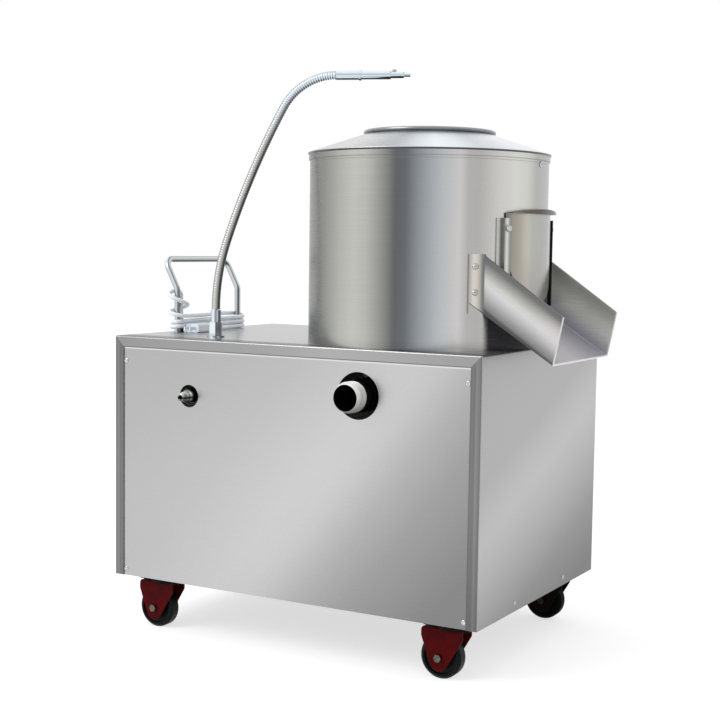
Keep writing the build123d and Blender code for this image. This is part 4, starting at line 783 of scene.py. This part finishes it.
gate_finish, shader, place, marks = brushed("gate_steel", (1800, 1800, 4), 0.3)
# Painted reflection round the plate, darker towards both edges; painted shade tints its foot and the pull
# flange seen from below.
plate = round_drum(place, [
    (-27, (112, 109, 102)), (-23, (150, 146, 137)), (-18, (168, 163, 152)), (-14, (186, 182, 171)),
    (-11, (188, 185, 176)), (-8, (176, 177, 170)), (3, (168, 169, 164)), (9, (168, 169, 165)),
    (13, (176, 176, 179)), (17, (184, 184, 188)), (20, (140, 140, 142)), (27, 110)])
foot_shade = along(place, upward, deck_top + 85, deck_top + 165, 0.6, 0.0)
plate = over(plate, (156, 147, 147), foot_shade)
lip = round_drum(place, [
    (-24, (134, 124, 119)), (-17, (100, 90, 86)), (-6, (88, 82, 79)), (6, 96),
    (14, (82, 84, 86)), (20, (110, 112, 114)), (24, (150, 152, 154))])
tone = over(plate, lip, along(place, upward, gate_top - 0.6, gate_top))
paint(shader, tone, marks, 0.96, 1.04)
dress(["gate"], gate_finish)

guide_finish, shader, place, marks = brushed("guide_steel", (1800, 1800, 6), 0.3)
# Painted reflection and shade: light and dark lines along the near guide, and painted shade that makes the
# far guide near black.
guide_shading = round_drum(place, [
    (-31.2, (180, 181, 176)), (-30.4, (192, 193, 187)), (-29.2, (196, 197, 191)), (-28.8, 128),
    (-28.5, 100), (-28.2, (150, 151, 148)), (-27.6, (166, 167, 163)), (-27.2, (208, 209, 205)),
    (-26.2, (220, 220, 217)), (-25.7, (190, 191, 187)), (-25.1, (118, 118, 115)), (-20, 80),
    (20, 50), (24.4, 34), (31, 26)])
paint(shader, guide_shading, marks, 0.95, 1.04)
dress(["gate_guides"], guide_finish)


def knurled_knob(place_in, radius, height, teeth=18, rows=6):
    """Points and faces of a thumb screw's knob with a toothed rim and a domed top."""
    points = []
    sides = teeth * 4
    for row in range(rows + 1):
        share = row / rows
        crown = 1 - crown_fall * max(0.0, share - crown_start) / (1 - crown_start)
        for side, (x, y) in enumerate(circle(sides)):
            notch = tooth_depth if side % 4 < 2 and share < tooth_top else 0.0
            reach = radius * crown * (1 - notch)
            points.append(Vector((reach * x, reach * y, height * share)))
    faces = ring_faces(rows + 1, sides)
    faces.append(tuple(rows * sides + side for side in range(sides)))
    faces.append(tuple(reversed(range(sides))))
    return [place_in @ p for p in points], faces


near_knob = knurled_knob(on_drum(-lock_angle, lock_seat, lock_z), knob_radius, knob_height)
near_slot = pan_head(on_drum(-lock_angle, lock_seat + knob_height - 0.2, lock_z), 2.6, 0.9)
far_head = pan_head(on_drum(lock_angle, lock_seat, lock_z), 4.6, 1.2)
locks = joined("lock_screw_knobs", screw_finish, [near_knob, near_slot, far_head])
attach(locks, "cabinet")
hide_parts("lock_screws")


# Chute: folded from one stainless sheet, open at the top, with its flanges screwed to the
# drum's wall. The inside of the sides is lighter in the middle, the floor is cooler.
chute_near = -148.0
chute_far = 108.0
slope_low = 667.0
slope_high = 745.0
mouth = 299.6
root_shade = (280.0, 286.5)
pink_reflection_reach = (372.0, 410.0)
chute_rise = (0.563, 0, 0.826)
chute_floor_way = (0.533, 0, 0.846)
mouth_way = (0.980, 0, -0.198)

chute_finish, shader, place, marks = brushed("chute_steel", (30, 1800, 1800), 0.3, 0.000002)
climb = along(place, chute_rise, slope_low, slope_high)
# Painted reflection on the near side: dark along its top and foot, bright in a middle band, with a pink
# painted reflection towards its right end and painted shade where it meets the drum.
near_tone = ramp(climb, [
    (0.0, 84), (0.05, 86), (0.1, 126), (0.2, 149), (0.4, 190), (0.5, 204), (0.6, (197, 197, 194)),
    (0.75, (160, 160, 156)), (0.9, 113), (1.0, 105)])
pink_reflection = both(along(place, rightward, *pink_reflection_reach),
             within(place, chute_rise, slope_low + 28, slope_high - 20, 10.0))
near_tone = over(near_tone, (208, 197, 201), spread(pink_reflection, 0.0, 0.55))
near_tone = over(near_tone, 108, within(place, rightward, *root_shade, 0.8))
# Painted reflection on the far side and the floor, by height and across.
far_tone = ramp(climb, [
    (0.0, (162, 162, 170)), (0.1, (178, 178, 186)), (0.2, (196, 196, 201)), (0.4, (224, 225, 221)),
    (0.6, (222, 223, 214)), (0.8, (188, 189, 181)), (0.92, (172, 173, 166)), (1.0, (188, 188, 184))])
floor_tone = ramp(along(place, rearward, chute_near, chute_far), [
    (0.0, (176, 176, 180)), (0.2, (206, 206, 212)), (0.4, (214, 210, 216)), (0.6, (196, 192, 200)),
    (0.8, (176, 174, 182)), (1.0, (172, 172, 178))])
tone = over(near_tone, far_tone, along(place, rearward, chute_near + 4, chute_near + 6))
floor_side = both(facing(place, chute_floor_way), within(place, rearward, chute_near + 2, chute_far + 0.5))
tone = over(tone, floor_tone, floor_side)
# Painted highlight: a bright line along the fold between the floor and the far side.
chute_fold_highlight = both(floor_side, within(place, rearward, chute_far - 2.6, chute_far + 1, 0.5))
tone = over(tone, 246, chute_fold_highlight)
# Painted highlight: bright lines along the mouth's edges.
mouth_highlight = over(204, 255, along(place, rearward, chute_near + 0.6, chute_near + 1.6))
tone = over(tone, mouth_highlight, along(place, mouth_way, mouth - 2.6, mouth - 1.6))
# Painted reflection on the flanges, by angle round the drum.
flange_tone = round_drum(place, [
    (-45, (140, 136, 132)), (-42.5, (212, 208, 200)), (-41, (210, 206, 197)), (-39.5, (188, 185, 177)),
    (-37.5, 108)])
tone = over(tone, flange_tone, within(place, rearward, chute_near - 40, chute_near - 0.4, 0.1))
paint(shader, tone, marks, 0.96, 1.04)
polish = along(place, rearward, chute_near + 0.6, chute_near + 1.2, 1.0, 0.2)
link(polish, shader.inputs["Metallic"])
dress(["chute"], chute_finish)


# Water side: a barbed hose nipple in front, a bent pipe inside, and on the deck a threaded
# base with a hexagon, a swivel collar, a ribbed metal hose and a nozzle, all chromed.
shine_way = (0.87, 0.49, -0.1)


def leaning(place, heading):
    """From 0 to 1 as the surface turns from looking against a heading to looking along it."""
    return spread(level(place.outputs["Normal"], heading), 0.0, 1.0, -1.0, 1.0)


def chrome_finish(name, stops, roughness=0.12, heading=shine_way, under=1.0):
    """Bright chrome with a painted reflection that follows how its surface leans along a heading, and painted
    shade underneath.
    """
    finish, shader, place = new_finish(name, 1.0)
    cloud = noise(place, 60.0)
    tone = tint(ramp(leaning(place, heading), stops), cloud, 0.95, 1.04)
    open_sky = spread(level(place.outputs["Normal"], upward), 0.0, 1.0, -0.45, 0.3)
    paint(shader, tone, open_sky, under, 1.0)
    gloss(shader, cloud, roughness - 0.03, roughness + 0.06)
    return finish


def lathed(profile, sides, swell=None):
    """Points and faces of a form turned round Y, from pairs of radius and place along Y."""
    points = []
    for radius, y in profile:
        for side, (across, up) in enumerate(circle(sides)):
            reach = swell(radius, y, side / sides) if swell else radius
            points.append(Vector((reach * across, y, reach * up)))
    return points, ring_faces(len(profile), sides)


def shifted(part, x, y, z):
    """Points and faces moved to their place."""
    points, faces = part
    return [p + Vector((x, y, z)) for p in points], faces


# Each chrome's stops are painted reflection, by how its surface leans.
handle_finish = chrome_finish("handle_chrome", [
    (0.0, (140, 150, 158)), (0.1, (204, 214, 222)), (0.26, (240, 246, 250)), (0.44, (226, 232, 236)),
    (0.52, (164, 172, 176)), (0.57, (126, 132, 136)), (0.64, (144, 150, 154)), (0.8, (200, 205, 207)),
    (0.93, (206, 209, 209)), (1.0, (184, 188, 189))], under=0.25)
dress(["push_handle"], handle_finish)
base_finish = chrome_finish("fitting_chrome", [
    (0.0, (126, 134, 140)), (0.12, (204, 212, 220)), (0.3, (238, 244, 248)), (0.46, (156, 166, 174)),
    (0.56, (112, 120, 128)), (0.72, (204, 212, 218)), (0.9, (150, 158, 166)), (1.0, (84, 90, 96))])
dress(["water_pipe", "gooseneck_base", "swivel_collar"], base_finish)
nozzle_finish = chrome_finish("nozzle_chrome", [
    (0.0, (60, 66, 72)), (0.2, (84, 92, 100)), (0.34, (178, 188, 196)), (0.5, (204, 214, 221)),
    (0.66, (176, 190, 200)), (0.74, (222, 234, 241)), (0.9, (238, 247, 250)), (1.0, (244, 251, 252))],
    0.1, (-0.17, -0.3, 0.94))
dress(["nozzle"], nozzle_finish)

base_x = -252.5
base_y = -156.0
nipple_z = 445.0
nipple_sides = 40
nipple_steps = [(8.0, -214.0), (13.5, -214.0), (13.5, -236.0), (12.5, -244.0), (11.4, -246.5), (10.2, -247.0),
                (10.8, -249.0), (9.6, -253.0), (8.4, -254.0), (9.0, -256.0), (7.6, -261.0), (6.2, -264.0),
                (4.4, -264.4), (4.2, -262.0), (4.2, -222.0)]
nipple_form = shifted(lathed(nipple_steps, nipple_sides), base_x, 0, nipple_z)
nipple_finish, shader, place = new_finish("nipple_chrome", 1.0)
# Painted reflection in bands by height, and painted shade on the part behind the front panel's face.
height = along(place, upward, nipple_z - 13, nipple_z + 13)
bands = ramp(height, [
    (0.0, 22), (0.2, (40, 44, 44)), (0.34, (120, 124, 122)), (0.42, (30, 32, 32)),
    (0.5, (60, 64, 62)), (0.58, (150, 156, 152)), (0.75, (214, 220, 214)), (0.9, (150, 156, 150)),
    (1.0, (60, 64, 62))])
bands = over(bands, 16, along(place, rearward, shell_front - 5, shell_front + 2))
paint(shader, bands, noise(place, 90.0), 0.9, 1.06)
link(spread(noise(place, 60.0), 0.14, 0.26), shader.inputs["Roughness"])
nipple = joined("hose_nipple", nipple_finish, [nipple_form])
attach(nipple, "cabinet")
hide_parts("water_nipple")

hose_radius = 7.9
hose_root_low = 7.55
hose_root_high = 6.95
hose_start = deck_top + 52.0
hose_turns = ((18.0, 400.0), (10.3, 1480.0), (61.7, 110.0))
rib_count = 112
rib_rings = 8
hose_sides = 24


def hose_at(length):
    """Reach, height and lean at a length along the hose's three arcs."""
    reach, height, lean = 0.0, hose_start, 0.0
    for turn_by, radius in hose_turns:
        run = radians(turn_by) * radius
        part = min(length, run) / radius
        reach += radius * (cos(lean) - cos(lean + part))
        height += radius * (sin(lean + part) - sin(lean))
        lean += part
        length -= run
        if length <= 0:
            break
    return reach, height, lean


hose_length = sum(radians(turn_by) * radius for turn_by, radius in hose_turns)
heading = asin((drum_y - base_y) / hypot(drum_x - base_x, drum_y - base_y))
out_way = Vector((cos(heading), sin(heading), 0))
side_way = Vector((-sin(heading), cos(heading), 0))
hose_points = []
ring_total = rib_count * rib_rings
for ring in range(ring_total + 1):
    reach, height, lean = hose_at(hose_length * ring / ring_total)
    swell = 0.5 - 0.5 * cos(2 * pi * ring / rib_rings)
    root = hose_root_low + (hose_root_high - hose_root_low) * ring / ring_total
    radius = root + (hose_radius - root) * swell
    centre = Vector((base_x, base_y, height)) + out_way * reach
    across = out_way * cos(lean) - Vector((0, 0, sin(lean)))
    hose_points += [(centre + radius * (x * across + y * side_way)) * mm for x, y in circle(hose_sides)]
hose_finish, shader, place = new_finish("hose_chrome", 1.0)
# Painted reflection by how the surface leans, warm low down and cool near the top.
side = leaning(place, shine_way)
warm = ramp(side, [
    (0.0, (122, 124, 123)), (0.15, (178, 180, 178)), (0.4, (186, 187, 185)), (0.56, (164, 164, 161)),
    (0.72, (140, 139, 136)), (0.88, (110, 108, 105)), (1.0, (90, 90, 88))])
cool = ramp(side, [
    (0.0, (118, 128, 136)), (0.15, (184, 195, 204)), (0.4, (222, 232, 238)), (0.56, (192, 203, 212)),
    (0.75, (144, 153, 162)), (1.0, (88, 95, 102))])
tone = over(warm, cool, along(place, upward, deck_top + 360, deck_top + 475))
grain = noise(place, 240.0)
paint(shader, tone, grain, 0.9, 1.06)
gloss(shader, grain, 0.3, 0.44)
hose = mesh_piece("gooseneck_ribs", hose_finish, hose_points, ring_faces(ring_total + 1, hose_sides))
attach(hose, "gooseneck")
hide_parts("gooseneck_hose")

knob_reach = 326.0
knob_seat = 1030.6
valve_radius = 4.2
valve_height = 4.8
valve_teeth = 10
knob_at = Matrix.Translation(Vector((base_x, base_y, knob_seat)) + out_way * knob_reach)
valve_form = knurled_knob(knob_at, valve_radius, valve_height, valve_teeth, 5)
knob_finish = plain_finish("knob_steel", (150, 152, 148), (190, 192, 186), 0.25, 200.0, metal=1.0)
valve_knob = joined("nozzle_valve_knob", knob_finish, [valve_form])
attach(valve_knob, "gooseneck")


# Drain: a white plastic elbow under the drum's floor and a pipe with a coarse thread, on
# which the drain hose screws; behind the thread the pipe is black.
drain_x = 99.0
drain_z = 468.5
pipe_radius = 24.6
pipe_bore = 22.2
pipe_mouth = 23.0
ridge = 2.2
ridge_pitch = 4.6
pipe_front = shell_front - 41.0
thread_front = shell_front - 36.0
thread_back = shell_front - 12.0
pipe_back = -202.1
thread_rings = 60
thread_fade = 2.5
pipe_sides = 72
elbow_dark_end_y = -200.0


def coarse_thread(radius, y, share):
    """The thread's ridge winds once round for each pitch and dies out at both ends."""
    if radius != pipe_radius:
        return radius
    turn = ((y - thread_front) / ridge_pitch - share) % 1.0
    crest = max(0.0, 1 - abs(turn - 0.5) / 0.33)
    fade = min(1.0, max(0.0, (y - thread_front) / thread_fade), max(0.0, (thread_back - y) / thread_fade))
    return radius + ridge * crest * fade


ring_gap = (thread_back - thread_front) / thread_rings
pipe_line = [(pipe_bore, pipe_back), (pipe_bore, pipe_front + 0.6), (pipe_bore + 0.4, pipe_front),
             (pipe_mouth, pipe_front), (pipe_mouth + 0.5, pipe_front + 0.6),
             (pipe_radius - 0.4, thread_front - 0.8)]
pipe_line += [(pipe_radius, thread_front + ring_gap * ring) for ring in range(thread_rings + 1)]
pipe_line += [(pipe_radius, pipe_back), (pipe_bore, pipe_back)]
pipe_form = shifted(lathed(pipe_line, pipe_sides, coarse_thread), drain_x, 0, drain_z)
pipe_finish, shader, place = new_finish("threaded_pipe", shine=0.05)
mottle = noise(place, 120.0)
# Painted shade: the white pipe darkens towards its underside, and the thread's grooves are painted darker.
shaded_white_plastic = ramp(along(place, upward, drain_z - 26, drain_z + 26), [
    (0.0, 150), (0.22, (198, 198, 196)), (0.5, (236, 236, 232)), (1.0, 250)])
flat = reckon("MULTIPLY", place.outputs["Object"], (1, 0, 1))
from_axis = reckon("DISTANCE", flat.outputs[0], (drain_x * mm, 0, drain_z * mm)).outputs["Value"]
groove_shade = spread(from_axis, 0.7, 0.0, (pipe_radius + 0.2) * mm, (pipe_radius + ridge * 0.7) * mm)
on_thread = along(place, rearward, thread_front + 1.5, thread_front + 2.5)
tone = over(shaded_white_plastic, (112, 112, 116), both(groove_shade, on_thread))
# Behind the thread the pipe is near black, and so is its bore.
dark_neck = along(place, rearward, thread_back - 0.6, thread_back + 0.4)
tone = over(tone, mottled(mottle, (10, 10, 11), (24, 24, 25)), dark_neck)
inside = spread(from_axis, 1.0, 0.0, (pipe_bore + 0.1) * mm, (pipe_bore + 0.5) * mm)
link(over(tone, (12, 12, 13), inside), shader.inputs["Base Color"])
gloss(shader, mottle, 0.35, 0.5)
relief(shader, mottle, 0.00005)
pipe = joined("drain_thread", pipe_finish, [pipe_form])
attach(pipe, "cabinet")
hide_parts("drain_pipe")

elbow_finish, shader, place = new_finish("elbow_plastic", shine=0.0)
mottle = noise(place, 50.0)
plastic = mottled(mottle, (216, 217, 216), (236, 236, 234))
# The elbow is near black at its front end.
elbow_dark_end = along(place, rearward, elbow_dark_end_y - 1, elbow_dark_end_y + 1, 1.0, 0.0)
link(over(plastic, (14, 14, 15), elbow_dark_end), shader.inputs["Base Color"])
gloss(shader, mottle, 0.34, 0.46)
relief(shader, mottle, 0.00006)
dress(["drain_elbow"], elbow_finish)


# Push buttons: a green one to start and a red one to stop, of moulded plastic. Each sits in
# a black holder that is let into the cabinet's end, under the handle.
dress_plain(["button_holders"], "black_holder", (26, 26, 27), (40, 40, 41), 0.42, 80.0, depth=0.00005)
dress_plain(["start_button"], "green_button", (24, 120, 52), (34, 138, 62), 0.3, 80.0)
dress_plain(["stop_button"], "red_button", (168, 26, 26), (188, 34, 32), 0.3, 80.0)


# Casters: black top plates, pressed forks in dark red enamel, solid black tyres on dark
# centres and bright axle nuts.
dark_red = (66, 5, 8)
light_red = (90, 8, 12)
fork_finish = plain_finish("dark_red_enamel", dark_red, light_red, 0.42, 40.0, depth=0.0001, shine=0.06)
# Painted shade on the rear casters: the fork's faces not turned rearward take a shaded copy of the red, and
# the tyres and nuts are shaded copies too.
rear_fork_finish, shader, place = new_finish("shaded_red_enamel", shine=0.04)
mottle = noise(place, 40.0)
lit_red = mottled(mottle, dark_red, light_red)
shaded_red = mottled(mottle, (13, 5, 5), (22, 8, 7))
link(over(shaded_red, lit_red, facing(place, rearward)), shader.inputs["Base Color"])
gloss(shader, mottle, 0.46, 0.58)
relief(shader, mottle, 0.0001)
tyre_finish = plain_finish("black_tyre", (5, 6, 8), (14, 16, 18), 0.42, 60.0, depth=0.0001, shine=0.12)
rear_tyre_finish = plain_finish("shaded_tyre", (5, 5, 6), (10, 10, 11), 0.6, 60.0, depth=0.0001, shine=0.04)
plate_finish = plain_finish("black_plate", (6, 6, 7), (14, 14, 15), 0.5, 50.0, depth=0.0001, shine=0.08)
nut_finish = plain_finish("axle_nut_steel", (78, 78, 70), (118, 118, 106), 0.3, 150.0, metal=1.0)
rear_nut_finish = plain_finish("shaded_nut_steel", (30, 28, 27), (44, 42, 40), 0.45, 150.0, metal=1.0)
dress(["caster_plates", "caster_bolts"], plate_finish)

axle_z = 37.5
trail = 20.0
cheek_inner = 16.0
cheek_outer = 19.0
pressed_edge = 0.7
crown_top = 88.7
crown_low = 85.7
axle_hole = 4.4
king_hole = 5.6
foot_radius = 17.5
foot_centre = 5.5
cheek_left = -33.0
cheek_right = 44.0
corner = 7.0
left_drop = 16.0
right_drop = 14.0
crown_left = -48.0
crown_right = 24.0
crown_half = 16.2


def rounded(centre_x, centre_z, start, end, steps, radius=corner):
    """Points along an arc, by angles in degrees."""
    angles = [radians(start + (end - start) * step / steps) for step in range(steps + 1)]
    return [Vector((centre_x + radius * cos(angle), 0, centre_z + radius * sin(angle))) for angle in angles]


def filled(points, steps):
    """The same closed outline with more points along its straight runs."""
    fuller = []
    for here, after in zip(points, points[1:] + points[:1]):
        count = steps if (after - here).length > 6 else 1
        fuller += [here + (after - here) * step / count for step in range(count)]
    return fuller


def plate_with_hole(outline, origin, way, hole, low, high):
    """A thick plate with rounded edges round a hole at its origin, from low to high along a way."""
    rings = [(None, low), (1, low), (0, low + pressed_edge),
             (0, high - pressed_edge), (1, high), (None, high)]
    points = []
    for inset, rise in rings:
        for p in outline:
            reach = hole if inset is None else p.length - inset * pressed_edge
            points.append(origin + p.normalized() * reach + way * rise)
    closed = points + points[:len(outline)]
    faces = ring_faces(len(closed) // len(outline), len(outline))
    return points, [tuple(index % len(points) for index in face) for face in faces]


cheek_top = crown_top - axle_z
cheek_line = rounded(0, -foot_centre, 205, 335, 14, foot_radius)
cheek_line += rounded(cheek_right - corner, cheek_top - right_drop, -30, 0, 3)
cheek_line += [Vector((cheek_right, 0, cheek_top))]
cheek_line += rounded(cheek_left + corner, cheek_top - corner, 90, 180, 6)
cheek_line += [Vector((cheek_left, 0, cheek_top - left_drop))]
cheek_line = filled(cheek_line, 6)
crown_corners = ((crown_right, -crown_half), (crown_right, crown_half), (crown_left, crown_half),
                 (crown_left, -crown_half))
crown_line = filled([Vector((x, y, 0)) for x, y in crown_corners], 12)
for spot in ("front_right", "front_left", "rear_right", "rear_left"):
    axle_x, axle_y, _ = [(low + high) / 2 / mm for low, high in zip(*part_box("caster_axle_" + spot))]
    axle = Vector((axle_x, axle_y, axle_z))
    king = Vector((axle_x + trail, axle_y, 0))
    cheeks = [plate_with_hole(cheek_line, axle, Vector(rearward), axle_hole, low, high)
              for low, high in ((-cheek_outer, -cheek_inner), (cheek_inner, cheek_outer))]
    crown = plate_with_hole(crown_line, king, Vector(upward), king_hole, crown_low, crown_top)
    in_front = spot.startswith("front")
    enamel = fork_finish if in_front else rear_fork_finish
    fork = joined("fork_pressing_" + spot, enamel, cheeks + [crown], False)
    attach(fork, "fork_" + spot)
    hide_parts("caster_fork_" + spot)
    dress(["caster_wheel_" + spot], tyre_finish if in_front else rear_tyre_finish)
    dress(["caster_axle_" + spot], nut_finish if in_front else rear_nut_finish)
